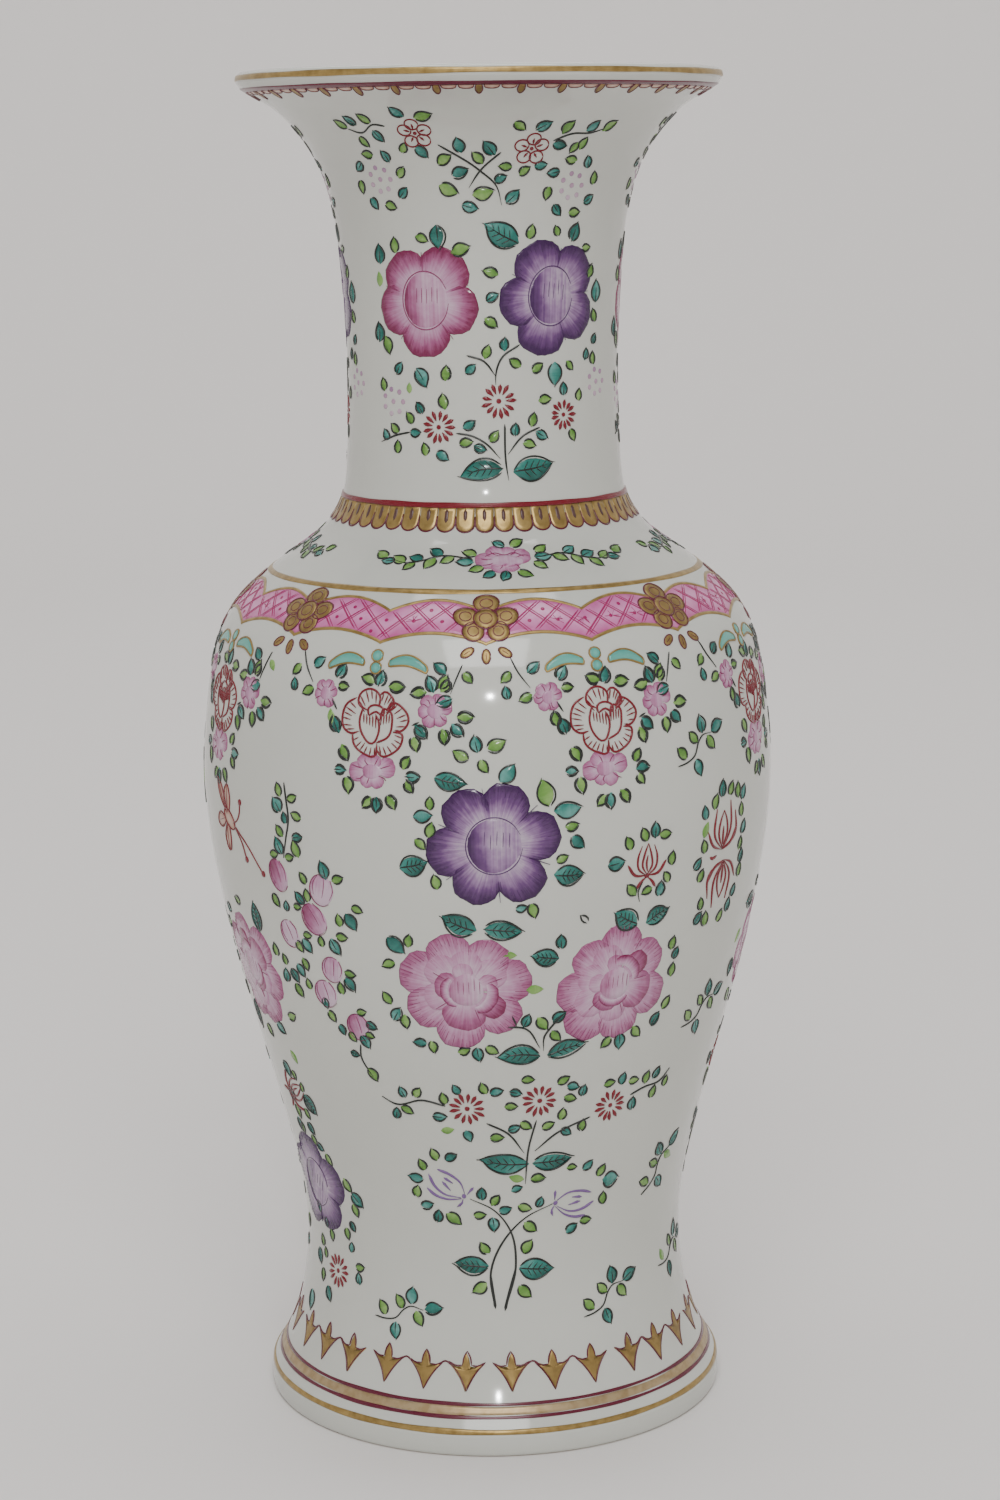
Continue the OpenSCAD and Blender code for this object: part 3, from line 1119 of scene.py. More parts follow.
def chrysanthemum(azimuth):
    """Two fans of long red strokes, one up and one down, between two columns of small leaves."""
    spot = Spot(azimuth, 154)
    for hand, shift in ((1, (-0.6, 1.6)), (-1, (0.8, -1.4))):
        here = spot.at(*shift, turn=0 if hand > 0 else 180)
        for x, tall in ((-3.6, 11.0), (3.2, 12.4), (6.0, 9.4)):
            stroke(red, here, [(0, 0), (x, tall * 0.36), (x * 0.9, tall)], 0.8, (0.4, 0.3))
        for side in (1, -1):
            stroke(red, here, [(0, 0.4), (side * 1.9, 4.4), (side * 1.4, 7.6), (0, 10.2)], 0.7)
            stroke(red, here, [(side * 0.3, 0), (side * 3.8, 1.4), (side * 6.6, 5.6)], 0.9, (0.4, 0.3))
        stroke(red, here, [(0, 1.4), (0, 6.2)], 0.8)
    stroke(red, spot, [(-5.6, 0.4), (-4.4, -0.2), (-2.8, 0.4)], 1.0)
    left = [
        ("t", -1.6, 17.6, 80, 4.6), ("g", -4.4, 14.6, 70, 4.2), ("t", -8.6, 12.4, 100, 3.8),
        ("g", -8.0, 8.0, 70, 4.2), ("g", -8.4, 3.6, 100, 3.8), ("t", -10.4, -0.6, 50, 3.8),
        ("g", -8.6, -4.0, 65, 3.8), ("g", -7.0, -11.8, 95, 3.6), ("t", -7.2, -15.6, 50, 4.0),
        ("g", -4.0, -16.4, 95, 4.4), ("g", 2.6, -16.8, 60, 3.8),
    ]
    right = [
        ("g", 2.4, 17.0, 60, 4.0), ("g", 6.0, 16.0, 90, 4.2), ("t", 8.8, 15.0, 65, 4.2),
        ("g", 8.2, 10.6, 95, 3.8), ("t", 9.6, 5.8, 70, 4.0), ("g", 8.6, 1.6, 80, 3.6),
        ("t", 9.8, -2.0, 85, 4.0), ("g", 10.0, -5.8, 85, 4.0), ("t", 8.0, -11.0, 70, 3.6),
        ("t", 6.2, -14.6, 80, 4.0),
    ]
    leaves(spot, left + right)


def bud(spot, angle, wide, tall, deep):
    """A pink bud, deep at one end, with a few fine lines."""
    here = spot.at(0, 0, turn=angle - 90)
    tilt = chance.uniform(-0.3, 0.3)
    blob(
        pink,
        here,
        oval(wide / 2, tall / 2, 16, ripple=0.03),
        shade=lambda x, y: deep * (0.34 + 0.6 * y / tall - 0.6 * x / wide + tilt),
    )
    for x in (-0.25, 0.05, 0.3):
        ends = [(x * wide, tall * 0.42), (x * wide * 1.5, tall * 0.1), (x * wide * 1.2, -tall * 0.22)]
        stroke(rose, here, ends, 0.24, lift=0.18)
    edge = oval(wide / 2, tall / 2, 16)[3:15]
    stroke(rose, here, edge, 0.24, lift=0.16)


def butterfly(azimuth, z):
    """A small butterfly in red-brown lines, with long feelers that end in dots."""
    here = Spot(azimuth, z)
    blob(tan, here, oval(3.4, 1.9, 14, turn=-35), lift=0.1)
    rim(red, here, oval(3.5, 2.0, 14, turn=-35), 0.34)
    wings = (
        [(-1, 1.2), (-5.6, 5.6), (-7.6, 10.2), (-4.6, 8.6), (-1.4, 1.6)],
        [(-0.6, 1.6), (-2.4, 7.2), (-0.8, 9.0), (1.0, 6.0), (0.2, 1.8)],
        [(-2, 0), (-6.6, 0.8), (-8.0, -1.8), (-5.2, -3.0), (-2, -0.6)],
        [(-1.6, -1), (-3.6, -5.6), (-1.6, -8.6), (0, -5.0), (-0.4, -1.4)],
    )
    for wing in wings:
        middle = np.mean(wing[1:4], axis=0)
        blob(tan, here, wing, centre=middle, lift=0.08)
        stroke(red, here, wing, 0.34, taper=(0.05, 0.05))
        stroke(red, here, [wing[0], middle, wing[2]], 0.22)
    feelers = (
        [(2.2, -0.8), (4.8, 0.6), (6.2, 2.8), (6.6, 5.4)],
        [(3.0, -1.6), (6.0, -5.0), (7.6, -9.4)],
        [(3.0, -1.4), (8.4, -5.2), (14.6, -12.0)],
    )
    for feeler in feelers:
        stroke(red, here, feeler, 0.42, taper=(0.05, 0.05))
        tip = np.array(feeler[-1])
        blob(red, here, tip + oval(0.8, 0.9, 8), centre=tip, lift=0.2)


def blossom(spot, wide, tall, deep):
    """A soft pink blossom: a pale middle petal, darker lobes round it and thin pink lines."""
    for k, angle in enumerate((15, 70, 130, 185, 240, 300)):
        c, s = toward(angle)
        reach = 0.5 * math.hypot(wide * c, tall * s) * chance.uniform(0.94, 1.06)
        petal(pink, spot, angle, 36, reach * 0.2, reach, 0.09 + 0.012 * (k % 3), dark=deep)
    heart = oval(wide * 0.22, tall * 0.24, 12, ripple=0.06)
    blob(pink, spot, heart, lift=0.17, shade=lambda x, y: 0.3 - 0.1 * x)
    for angle in (20, 75, 120, 165, 215, 265, 310):
        angle += chance.uniform(-12, 12)
        c, s = toward(angle)
        bend = chance.uniform(-0.5, 0.5)
        far = chance.uniform(0.4, 0.47)
        ends = [
            (wide * 0.2 * c, tall * 0.2 * s),
            (wide * 0.34 * c - bend * s, tall * 0.34 * s + bend * c),
            (wide * far * c, tall * far * s),
        ]
        stroke(rose, spot, ends, 0.3, lift=0.22)


def neck_top(azimuth):
    """Crossing stems under the lip with a red flower and a berry cluster either side."""
    spot = Spot(azimuth, 325)
    stems(spot, [[(-10.3, 7), (0, -0.2), (4, -4.2), (5.2, -8.9)], [(5.2, 4.7), (0, -0.2), (-2.8, -4.5)]])
    leaves(spot, [
        ("t", -5.2, 6.8, 100, 4.5), ("g", -8.7, 2.8, 35, 4.4), ("t", -4.9, -0.7, 25, 4.6),
        ("t", 2.3, 5.9, 125, 4.8), ("g", -0.6, 3.3, 130, 4), ("g", 6.2, 0.9, 175, 3.4),
        ("t", 5, -2.3, 25, 3.4), ("t", 7.9, -6.8, 45, 4.6), ("g", -7.8, -4.7, -25, 5.2),
        ("g", 0.7, -5.6, 10, 5.4), ("t", -2.6, -9.2, -15, 4.2),
    ])
    left = Spot(azimuth - 20, 334)
    red_flower(left)
    leaves(left, [
        ("t", -3, 7, 130, 4.4), ("g", 3.4, 5.4, 15, 5), ("g", -4.2, -4.2, 60, 3.3),
        ("t", 0.5, -5.4, -50, 4.2),
    ])
    right = Spot(azimuth + 17, 330)
    red_flower(right)
    leaves(
        right,
        [("g", -4.1, 6.7, -40, 4), ("t", 2, 6.6, 35, 4.6), ("g", -1, -6, 40, 3.4), ("t", 3, -4.5, 10, 3.4)],
    )
    stems(right, [[(5.3, 2.2), (10.2, 4.2), (15.5, 4.4), (19.4, 5.6)]])
    leaves(right, [
        ("g", 8.7, 6.3, 60, 4.5), ("t", 15.8, 6.6, 50, 4.2), ("g", 21.4, 6.6, 45, 4.4),
        ("t", 7.3, 1, -10, 4), ("g", 14.1, 1.4, 70, 3.6), ("g", 11.4, 0.2, 240, 3.4),
    ])
    stems(left, [[(-7.5, 2.3), (-10.7, 2.9), (-15, 0.4), (-19, 1.7)]])
    leaves(left, [
        ("g", -12.9, 4.9, 130, 4.2), ("t", -17.5, 4.3, 130, 4), ("g", -21.0, 3.4, 140, 4),
        ("t", -10.2, -0.6, -60, 4), ("g", -15, -2.2, -60, 3.6),
    ])
    dot_cluster(Spot(azimuth - 38, 323))
    dot_cluster(Spot(azimuth + 35, 321))


def neck_middle(azimuth):
    """A pink and a purple peony side by side, ringed by leaves, over a fork of stems with daisies."""
    spot = Spot(azimuth + 3.5, 294, seen=azimuth)
    peony(pink, rose, Spot(azimuth - 23.3, 293.3), PINK_LOBES, reach=(14.2, 14.6))
    peony(purple, plum, Spot(azimuth + 29, 294), PURPLE_LOBES, reach=(14.3, 14.9))
    leaves(spot, [
        ("t", -12.8, 14.9, -85, 6.2), ("g", -16.9, 14.5, -20, 3.6), ("d", 2.9, 15.6, 150, 10, 6),
        ("g", 10, 16, 75, 3.8), ("g", 16.5, 16, 110, 3), ("t", 21, 15.6, 70, 5), ("g", 24, 11.8, 0, 3),
        ("g", -7.2, 11.7, 20, 5), ("g", 0, 6.2, 165, 4), ("t", 0.5, -0.1, 30, 3.6),
        ("g", 0, -6.4, -35, 4), ("g", -1.1, -13.4, 70, 3.6), ("t", 3.5, -11.6, 85, 3.4),
        ("g", 6, -16.3, 145, 3.6), ("t", -5.2, -17.6, 40, 3.4), ("g", 11.5, -17.7, 35, 3.6),
        ("t", 15.8, -19.4, -90, 6), ("g", 19.7, -17.5, -50, 3), ("g", -11.3, -18.7, 85, 4),
        ("t", -17.5, -19.9, -60, 5.5), ("g", -20.5, -22.4, 90, 2.8), ("t", -23, -17.7, 60, 3.6),
        ("g", -27, -21.8, 100, 3.4), ("g", -11.9, -25.6, 100, 4), ("t", -27.6, 10.7, 90, 5),
        ("g", -23.7, 13, 90, 4), ("g", -27.8, 4.6, 90, 4), ("t", -28, -8.8, 90, 5),
        ("g", -25.8, -12, -75, 4.6), ("g", 25, 5.9, 70, 3.6), ("t", 26.5, 0.7, 90, 5.6),
        ("g", 26, -5.3, 110, 3.6), ("t", 25.9, -11.2, 60, 3), ("t", 23.8, -14.9, 80, 3),
        ("g", 25.7, -16, 95, 3.4),
    ])
    stems(spot, [
        [(-6.1, -14.3), (-1.8, -15.8), (1.1, -19.5)],
        [(7.2, -11.8), (2.6, -15.1), (1.1, -19.5), (1.1, -21.7)],
        [(-9, -33.6), (-5.3, -34.2), (-1.8, -36), (2.0, -40)],
        [(3.2, -31.4), (3.4, -41.2), (4, -45.5)],
        [(12, -32.5), (7.9, -34.4), (3.9, -39.0)],
    ])
    daisy(spot.at(1.8, -25.7), 4.3)
    daisy(spot.at(-13.3, -32.1), 4.0)
    daisy(spot.at(18, -29.7), 3.7)
    leaves(spot, [
        ("d", -2.6, -43.4, 190, 11.3, 5.3), ("d", 10.3, -42.3, 10, 10.8, 6),
        ("g", 13.4, -25.7, 5, 3.6), ("t", 18, -23.2, 90, 3.4), ("g", 22, -25, 80, 3.2),
        ("g", 10.3, -30.5, 75, 3.6), ("t", 5.9, -32.9, 85, 3.4), ("g", 0.4, -34.4, 50, 3.6),
        ("t", -5.7, -31.4, 30, 3.6), ("g", -6.5, -36, 10, 3.6), ("t", -3, -37.3, -20, 3.4),
        ("g", 9.3, -36.7, -15, 3.6), ("t", 12.5, -34.5, -30, 3.6), ("g", 20.2, -34.9, -70, 3.4),
        ("t", -12.5, -39.3, -30, 3.8), ("g", -16.9, -37.7, 100, 3.4), ("g", -20.6, -30, 120, 3.4),
        ("t", -18, -27.4, 120, 3.4), ("t", -19.2, -33.5, 0, 3.2), ("g", -24.3, -32.6, 140, 3.4),
        ("t", -26.5, -34.4, 120, 3.2), ("g", -23.7, -37.3, 90, 3.4),
    ])
    stems(spot, [[(-20.4, -33.5), (-24, -34.4), (-27.9, -36.3)]])
    dot_cluster(Spot(azimuth - 40, 268), leafy=False)
    dot_cluster(Spot(azimuth + 55, 272), leafy=False)


def garland(azimuth):
    """A rose on the shoulder with a leafy sprig trailing either way."""
    spot = Spot(azimuth, 230)
    blossom(spot.at(0, 0), 14.6, 8.4, deep=0.62)
    blob(pink, spot.at(0, -0.6), oval(4.8, 2.3, 16), lift=0.2, shade=lambda x, y: 0.18 + 0.4 * (y < -1.4))
    stroke(rose, spot, [(-4.8, 1.2), (-2.4, 2.4), (0, 1.6), (2.4, 2.4), (4.8, 1.0)], 0.3, lift=0.26)
    leaves(spot, [
        ("g", -8.6, 2.4, 160, 4), ("t", -10, -0.6, 180, 4.6), ("g", -7.4, -3.4, 200, 4),
        ("t", -4.4, -5.4, 215, 3.8), ("t", -0.6, -6.0, 250, 4), ("g", 4.6, -5.2, -30, 4.2),
        ("t", -1.2, 5.4, 150, 3.4), ("g", 3.4, 5.6, 30, 4), ("g", 8.8, -2.4, -40, 4),
        ("t", 9.8, 0.8, 0, 4.6), ("g", 9.2, 3.6, 30, 4),
    ])
    path = [(9.5, 0.8), (15, 1.6), (21, -0.4), (26, -1.4), (30, 0.4)]
    for flip in (False, True):
        side = spot.at(0, 0, flip=flip)
        scatter(side, "gtgtggtg", path, length=4.2, lean=38)


def bouquet(azimuth):
    """A peony in red lines with three pink blossoms and leaves, hung in the middle of a bay."""
    spot = Spot(azimuth, 193.3)
    line_peony(spot)
    blossom(spot.at(-14, 6.2), 7.4, 7.6, deep=0.66)
    blossom(spot.at(15.2, 3.3), 9.0, 8.6, deep=0.66)
    blossom(spot.at(-0.4, -12), 12.4, 8.0, deep=0.62)
    leaves(spot, [
        ("g", -2.2, 10.3, 160, 4), ("t", 1, 10.7, 75, 4.2), ("g", 5.4, 8.9, 0, 4.2),
        ("t", -10, 12, 60, 4.2), ("g", -9, 8.3, 0, 3.2), ("g", -12.5, 1, 100, 3.8),
        ("t", -10.8, -1, 110, 4.4), ("t", 13.7, 9.8, 110, 4.4), ("g", 10.8, 7.6, 190, 4),
        ("g", 17.4, 9.5, 60, 3.6), ("g", 22.8, 1.9, 0, 4.2), ("t", 21, -1.4, -45, 4),
        ("g", 17.7, -3, -85, 4), ("t", 12, -2, -45, 4.2), ("g", 10.5, -4.8, -75, 4),
        ("g", -8, -8, -60, 4.2), ("t", -9.2, -12.2, 0, 3.4), ("g", -7, -15.7, -80, 4.4),
        ("g", 8.5, -9.5, 60, 3.6), ("t", 10.1, -12.8, 0, 4), ("g", 9.4, -15.3, -60, 3.4),
        ("g", -1.8, -19.7, 230, 3.6), ("t", 0.7, -20.2, -90, 4), ("g", 4.7, -19.3, -60, 4),
    ], bold=1.5)
    stems(spot, [[(-12, 5), (-10.5, 2.5)], [(11.5, 0.5), (9.6, -0.4)]])


def belly_purple(azimuth):
    """The big purple peony in the middle of the belly."""
    spot = Spot(azimuth, 163.6)
    peony(purple, plum, spot, BELLY_LOBES, reach=(17.4, 15.8), disc=0.42, spread=33)
    leaves(spot, [
        ("d", -10.5, 16.2, -10, 8), ("t", 3.4, 17.9, 50, 5.6), ("g", -15.5, 10.6, 90, 3.4),
        ("t", -17.4, 7.5, 5, 4.8), ("g", -15.7, 4, 75, 4), ("g", -18.2, 0.3, -45, 3.6),
        ("d", -20, -4.9, 15, 7.2, 5.2), ("g", -14.5, -9.2, 100, 4), ("g", 12.8, 12.8, 105, 7, 4.4),
        ("t", 18.3, 8.7, 5, 7, 4), ("g", 19.3, 4.3, 10, 3.8), ("t", 20.8, 0.2, -45, 4.6),
        ("g", 16.8, -3.9, 25, 3.4), ("d", 18.6, -8, 0, 7.4, 5.2), ("g", 9.4, -16.9, -75, 4.2),
        ("t", 6.5, -16.1, 15, 3), ("d", -8.9, -20.1, 155, 9.4, 5.6), ("d", 1.9, -21.9, -5, 10, 5),
        ("g", -7.8, 22.4, 150, 4.4), ("t", -4.0, 25.2, 100, 4.4),
        ("g", 0.8, 24.8, 25, 5.2), ("g", -2.2, 19.8, -60, 3.8),
    ])


def doubles(azimuth):
    """Two full pink peonies side by side over a fork of stems and two big leaves."""
    spot = Spot(azimuth - 5, 126)
    double_peony(spot, 16.8)
    double_peony(Spot(azimuth + 26.8, 125.4), 16.4, turn=75)
    leaves(spot, [
        ("t", -17.5, 11.7, -45, 6), ("g", -14, 13, 80, 3.6), ("g", 11, 9.3, 0, 3.4),
        ("g", 17, -0.3, 0, 4.4), ("d", 19.8, 8.5, 170, 7, 4.6), ("t", 24, 12.4, 95, 4),
        ("o", 30, 18, 135, 3), ("g", -1.2, -17.2, 20, 3.4), ("t", 2.4, -18.3, -80, 4.2),
        ("g", 5.8, -17, -30, 3.8), ("t", -12.3, -15.4, 175, 3.6), ("g", -9, -16.4, -80, 3.6),
        ("t", -18, -7.7, 60, 4.5), ("g", -15.8, -9.6, -85, 4), ("d", 12.5, -19.1, 180, 10.8, 5.4),
        ("d", 24.8, -18, 15, 10.6, 4.6), ("t", 14.7, -8.9, 70, 3.8), ("g", 18.7, -10, -55, 4.4),
        ("t", 23, -8.5, 40, 4.2), ("g", 22, -13.7, -50, 3.8), ("g", -19.6, 6.2, 200, 3.8),
        ("g", -20.4, -3.2, 120, 3.8),
    ])
    stems(spot, [
        [(9.9, -10.5), (14.3, -11.2), (17.9, -17)],
        [(11.1, -7.4), (12.2, -10.3)],
        [(24.4, -7.4), (21, -11), (19.1, -13.7), (18.7, -17.8)],
    ])
    leaves(Spot(azimuth + 26.8, 125.4), [
        ("g", 17, 8.4, 80, 3.8), ("t", 18.5, 5.3, 70, 3.4), ("g", 17.9, 0.8, 85, 3.8),
        ("g", 17.2, -8.4, 60, 4), ("t", 14.2, -12.6, 60, 4.2), ("g", 8.4, -15, -50, 4),
        ("t", 3.4, -17, -85, 4.6), ("g", -0.5, -16.6, 230, 3.8),
    ])


def red_lotus(azimuth):
    """A small red lotus beside the purple peony, with its own ring of leaves."""
    spot = Spot(azimuth, 154.4)
    lotus(spot.at(-0.2, -1.4), 0.96, 0.62)
    stroke(ink, spot, [(-1.2, -2.6), (-2.4, -5.4), (-1.8, -8.0)], 0.36)
    leaves(spot, [
        ("g", -6.0, 7.6, 110, 3.8), ("g", -1.4, 9.4, 110, 3.8), ("t", 1.8, 10.2, 90, 4.2),
        ("g", 5.0, 8.8, 0, 3.8), ("t", -9.2, 2.8, 10, 4.8, 3.6), ("g", 7.6, 2.2, 85, 3.8),
        ("g", 6.0, -2.6, 120, 3.4), ("g", -4.4, -4.6, 130, 4), ("g", 0.2, -5.4, 200, 3.4),
        ("t", 4.2, -5.4, 80, 4.2), ("d", -5.0, -12.0, 150, 8, 5.6), ("d", 4.4, -12.6, 25, 7.4, 4.6),
    ])


def lower_panel(azimuth):
    """Daisies on a stem, then two lavender lotuses on thick crossing stems."""
    spot = Spot(azimuth + 9.3, 77, seen=azimuth)
    for x, y, reach in ((-16.0, 16.4, 4.4), (2.2, 18.2, 4.4), (20.4, 14.2, 4.2)):
        daisy(spot.at(x, y), reach)
    leaves(spot, [
        ("g", -1, 24.5, 0, 3.4), ("g", 8, 23.7, 30, 3.6), ("t", 10.5, 21.5, -10, 3.6),
        ("g", 9.9, 18.2, -15, 3.6), ("t", 13.2, 20, 75, 3.4), ("g", 8, 13.7, 80, 3.6),
        ("g", 13.4, 9.6, 85, 3.6), ("t", 9.3, 8.4, -35, 3.4), ("g", -1, 11.2, -35, 3.6),
        ("g", 4.6, 10.6, 25, 3.6), ("t", -4, 10.4, 20, 3.4), ("g", -8.3, 7.7, 5, 3.8),
        ("t", -8.8, 21.3, 15, 3.6), ("g", -12, 22.5, 110, 3.6), ("t", -4, 20.9, -15, 3.4),
        ("g", -5, 16.9, 0, 3.4), ("t", -18.9, 22, 120, 3.2), ("g", -22, 19.2, 100, 3.6),
        ("t", -22.9, 13.9, 0, 3.8), ("g", -20.7, 10, 10, 3.6), ("t", -15.5, 8.4, -70, 3.6),
        ("d", -6.3, 0.5, 172, 12.5, 5.6), ("d", 6.1, 0.3, 5, 10.8, 5), ("g", -2.8, -4.3, 165, 4),
        ("g", 2.6, -5, 0, 4), ("t", -2.7, -7.7, 20, 3), ("t", -19.7, 1.8, 30, 3.6),
        ("g", -24.0, 2.4, 110, 3.8), ("g", 11.2, -2.7, 0, 2.8), ("t", 15.3, -2.7, 45, 3.6),
        ("g", 18.9, -5, 60, 3.8), ("t", 21.6, -8.2, 0, 5, 4.6), ("g", 19.8, -13.5, 95, 3.8),
        ("g", 15.3, -19, 0, 3.4), ("t", 11.7, -20.8, 35, 3.8), ("t", -11.5, -8.9, 90, 3.8),
        ("g", -8, -10.9, 60, 3.6), ("t", -5.6, -13.7, 15, 3.6), ("g", -0.5, -13.2, -20, 3.8),
        ("t", 3.2, -12, 70, 3.2), ("g", -12, -15.2, 5, 3.4), ("t", -8.5, -18, -85, 4.2),
        ("g", 1, -19, -40, 4.4), ("g", 0.5, -24.7, 60, 4.4), ("g", -10.5, -24.7, 125, 4),
        ("d", -14.1, -29.5, 175, 9, 5), ("d", 2.6, -30.8, -5, 9, 5.6),
        ("g", -12, -35.5, 215, 4.6), ("g", -0.3, -36.8, -45, 4.6), ("g", -27, -1.0, 110, 3.6),
        ("t", -28.5, -5.0, 170, 4.2), ("g", -28, -9.2, 80, 3.8), ("t", -25.5, -13, 20, 3.8),
        ("t", -22.6, -16, 80, 3.8), ("g", -18.6, -16.4, -40, 4.8),
    ])
    stems(spot, [
        [(-11, 12.1), (-5.6, 9), (-1.2, 3)],
        [(1.6, 12.5), (0, 5), (-0.6, -6.3)],
        [(15.3, 11.8), (7, 8.2), (1.5, 3.4)],
        [(-21.5, 17.0), (-27.5, 18.3), (-34.0, 16.5), (-37.6, 18.3)],
        [(25.5, 16.1), (29.3, 17.5), (33.1, 18.0), (35.8, 21.1)],
    ])
    leaves(spot, [
        ("t", -32.4, 20.3, 110, 3.4), ("g", -28.7, 20.4, 60, 3.6), ("g", -31.1, 15.0, -30, 3.6),
        ("t", -33.8, 13.8, 80, 3.4), ("g", 19.9, 20.9, 10, 3.4), ("t", 23.4, 21.6, 80, 3.6),
        ("g", 26.2, 20.4, 0, 3.4), ("g", 29.7, 20.4, 80, 3.8), ("t", 32.2, 21.0, 60, 3.6),
        ("g", 31.5, 15.3, 75, 3.8), ("g", 34.8, 17.5, 80, 3.2), ("t", 26.2, 13.4, 90, 4),
    ])
    for line in (
        [(-14.6, -10.4), (-8.5, -13.7), (-4.1, -19.8), (-2.6, -29.7), (-5.6, -41.8)],
        [(6.6, -12.9), (0.2, -16), (-5.6, -22.5), (-9, -31.3), (-8, -41.2)],
    ):
        stroke(ink, spot, line, 0.62, taper=(0.5, 0.02))
        stroke(ink, spot, line[-2:], 0.85, taper=(0.9, 0.05))
    side_lotus(Spot(azimuth - 8.0, 67.6))
    side_lotus(Spot(azimuth + 17.5, 64.6, turn=-40, flip=True))
    low_sprig(azimuth - 27.5, 34.5, 0)
    low_sprig(azimuth + 35.5, 37, 14)
    low_sprig(azimuth + 53, 69, 38)


def side_lotus(spot):
    """A lavender lotus seen from its side, opening up and to the left of its foot."""
    petals = (
        [(0.2, 0.8), (-0.8, 4.0), (-3.4, 6.3), (-6.6, 7.7)],
        [(-0.8, -0.5), (-5.3, 0.5), (-7.6, 2.7), (-9.0, 6.1)],
        [(-0.6, -0.8), (-4.3, -1.1), (-7.9, 0.2), (-9.6, 1.9)],
        [(-2.7, 3.7), (-5.0, 5.3)],
        [(-3.4, 1.5), (-5.5, 4.1)],
    )
    for line in petals:
        stroke(lilac, spot, line, 0.95, taper=(0.9, 0.14))
    for line in ([(0.8, 0.5), (2.6, 2.7)], [(-0.3, -0.8), (-0.6, -2.1), (-1.9, -3.2)]):
        stroke(lilac, spot, line, 1.0, taper=(1.0, 0.15))
    blob(lilac, spot, oval(0.6, 0.7, 8), lift=0.16)


def low_sprig(azimuth, z, turn):
    """A short wavy twig, as they stand in the gaps of the belly and the lower body."""
    spot = Spot(azimuth, z, turn=turn)
    stems(spot, [[(-8.8, -3.1), (-5.3, -3.3), (-2.4, -2.6), (0, 0), (1.6, 1.0), (5.6, 0.5)]], 0.42)
    leaves(spot, [
        ("g", -6.4, -0.5, 120, 4.2), ("g", -1.3, 1.9, 120, 4), ("t", 2.4, 4.0, 85, 4.8, 3.2),
        ("t", 8.3, 1.1, 10, 5.3, 3.2), ("g", 4.5, -1.7, -65, 4.4), ("t", -2, -5.9, -85, 4.6),
    ])


def slanting_sprig(azimuth, z):
    """A leaning twig with leaves on both sides."""
    spot = Spot(azimuth, z, flip=True)
    scatter(spot, "tggtgtgt", [(-6, -10), (-2, -4), (1, 3), (7, 10)], length=4.4)


def bud_column(facing):
    """A leafy twig, then a trail of pink buds that hangs down between the big bouquets."""
    spot = Spot(facing - 40.5, 137, seen=facing)
    stems(spot, [
        [(-2, 39.5), (-1.5, 35.5), (-1, 30.5), (-2, 25), (-3, 20)],
        [(9, -29), (8.5, -33), (9.5, -36), (10.5, -38)],
    ], 0.4)
    buds = (
        (-5, 15, 105, 6.6, 8.8, 0.9), (6, 13, 75, 7.4, 8.6, 0.9), (3, 4.8, 120, 7.6, 8.8, 0.8),
        (-4.2, -0.6, 110, 6.6, 7.6, 0.6), (5.5, -8.6, 80, 6.4, 7.2, 0.4), (2.6, -15.8, 100, 7.2, 7.6, 0.45),
        (9.5, -24, 100, 6.8, 7.6, 0.8),
    )
    for x, y, turn, wide, tall, deep in buds:
        bud(spot.at(x, y), turn, wide, tall, deep)
    leaves(spot, [
        ("g", -3.5, 37.5, 110, 3.6), ("g", 0, 36, 20, 3.4), ("t", -4, 33.5, 130, 4.4, 3.8),
        ("g", 1, 31.5, 160, 3.6), ("t", -2, 30.5, 100, 3.2), ("g", -3.5, 27, 130, 3.6),
        ("t", 1, 26, 10, 3.6), ("g", 0.5, 23, 110, 4.6), ("t", -4, 23, 115, 4.8),
        ("g", -5.5, 20.5, 10, 3.2), ("g", -1.5, 20.5, 10, 3.2), ("t", 7, 18.5, 105, 4.8),
        ("g", 10.5, 16.5, 20, 3.6), ("g", 1.5, 15.5, 120, 3.4), ("t", 0, 10, 130, 4),
        ("g", 2, 11, 95, 3.6), ("g", -1, 7.5, 0, 2.8), ("g", 14.5, 9, -20, 3.4),
        ("g", 9.5, 5.5, 95, 3.6), ("t", 12.5, 5.5, -60, 5), ("g", 9.5, 1, 0, 3.6),
        ("g", 4, -1, 95, 3.2), ("t", 7.5, -2, -60, 4.8), ("g", 0.5, 0, 0, 3),
        ("t", 0, -3, -55, 4.4), ("g", -2, -3.5, -60, 3.6), ("g", -6.5, 8, -60, 4),
        ("t", -4, 7, 80, 3), ("g", -1.5, -8.5, -70, 3.6), ("t", -3, -10.5, -60, 4),
        ("t", -5, -12.5, -60, 4.2), ("g", -7, -8.5, 100, 3.2), ("g", -1.5, -14, 100, 3.2),
        ("g", -4.5, -16.5, -60, 4.2), ("g", 10, -9, -10, 3.4), ("t", 9.5, -12, -60, 4.6),
        ("g", 7, -13.5, 95, 3.6), ("t", 2, -18.5, -80, 3.2), ("g", 3, -22, -60, 3.6),
        ("t", 5, -25.5, -70, 3.2), ("g", 7.5, -27, -60, 3.2), ("t", 10.5, -28, -60, 4.2),
        ("g", 12, -26, -20, 2.8), ("t", 13, -23, -30, 3.4), ("g", 11, -19.5, 10, 3),
        ("t", 7, -32, -20, 2.8), ("g", 10.5, -37.5, -60, 4.2),
    ])


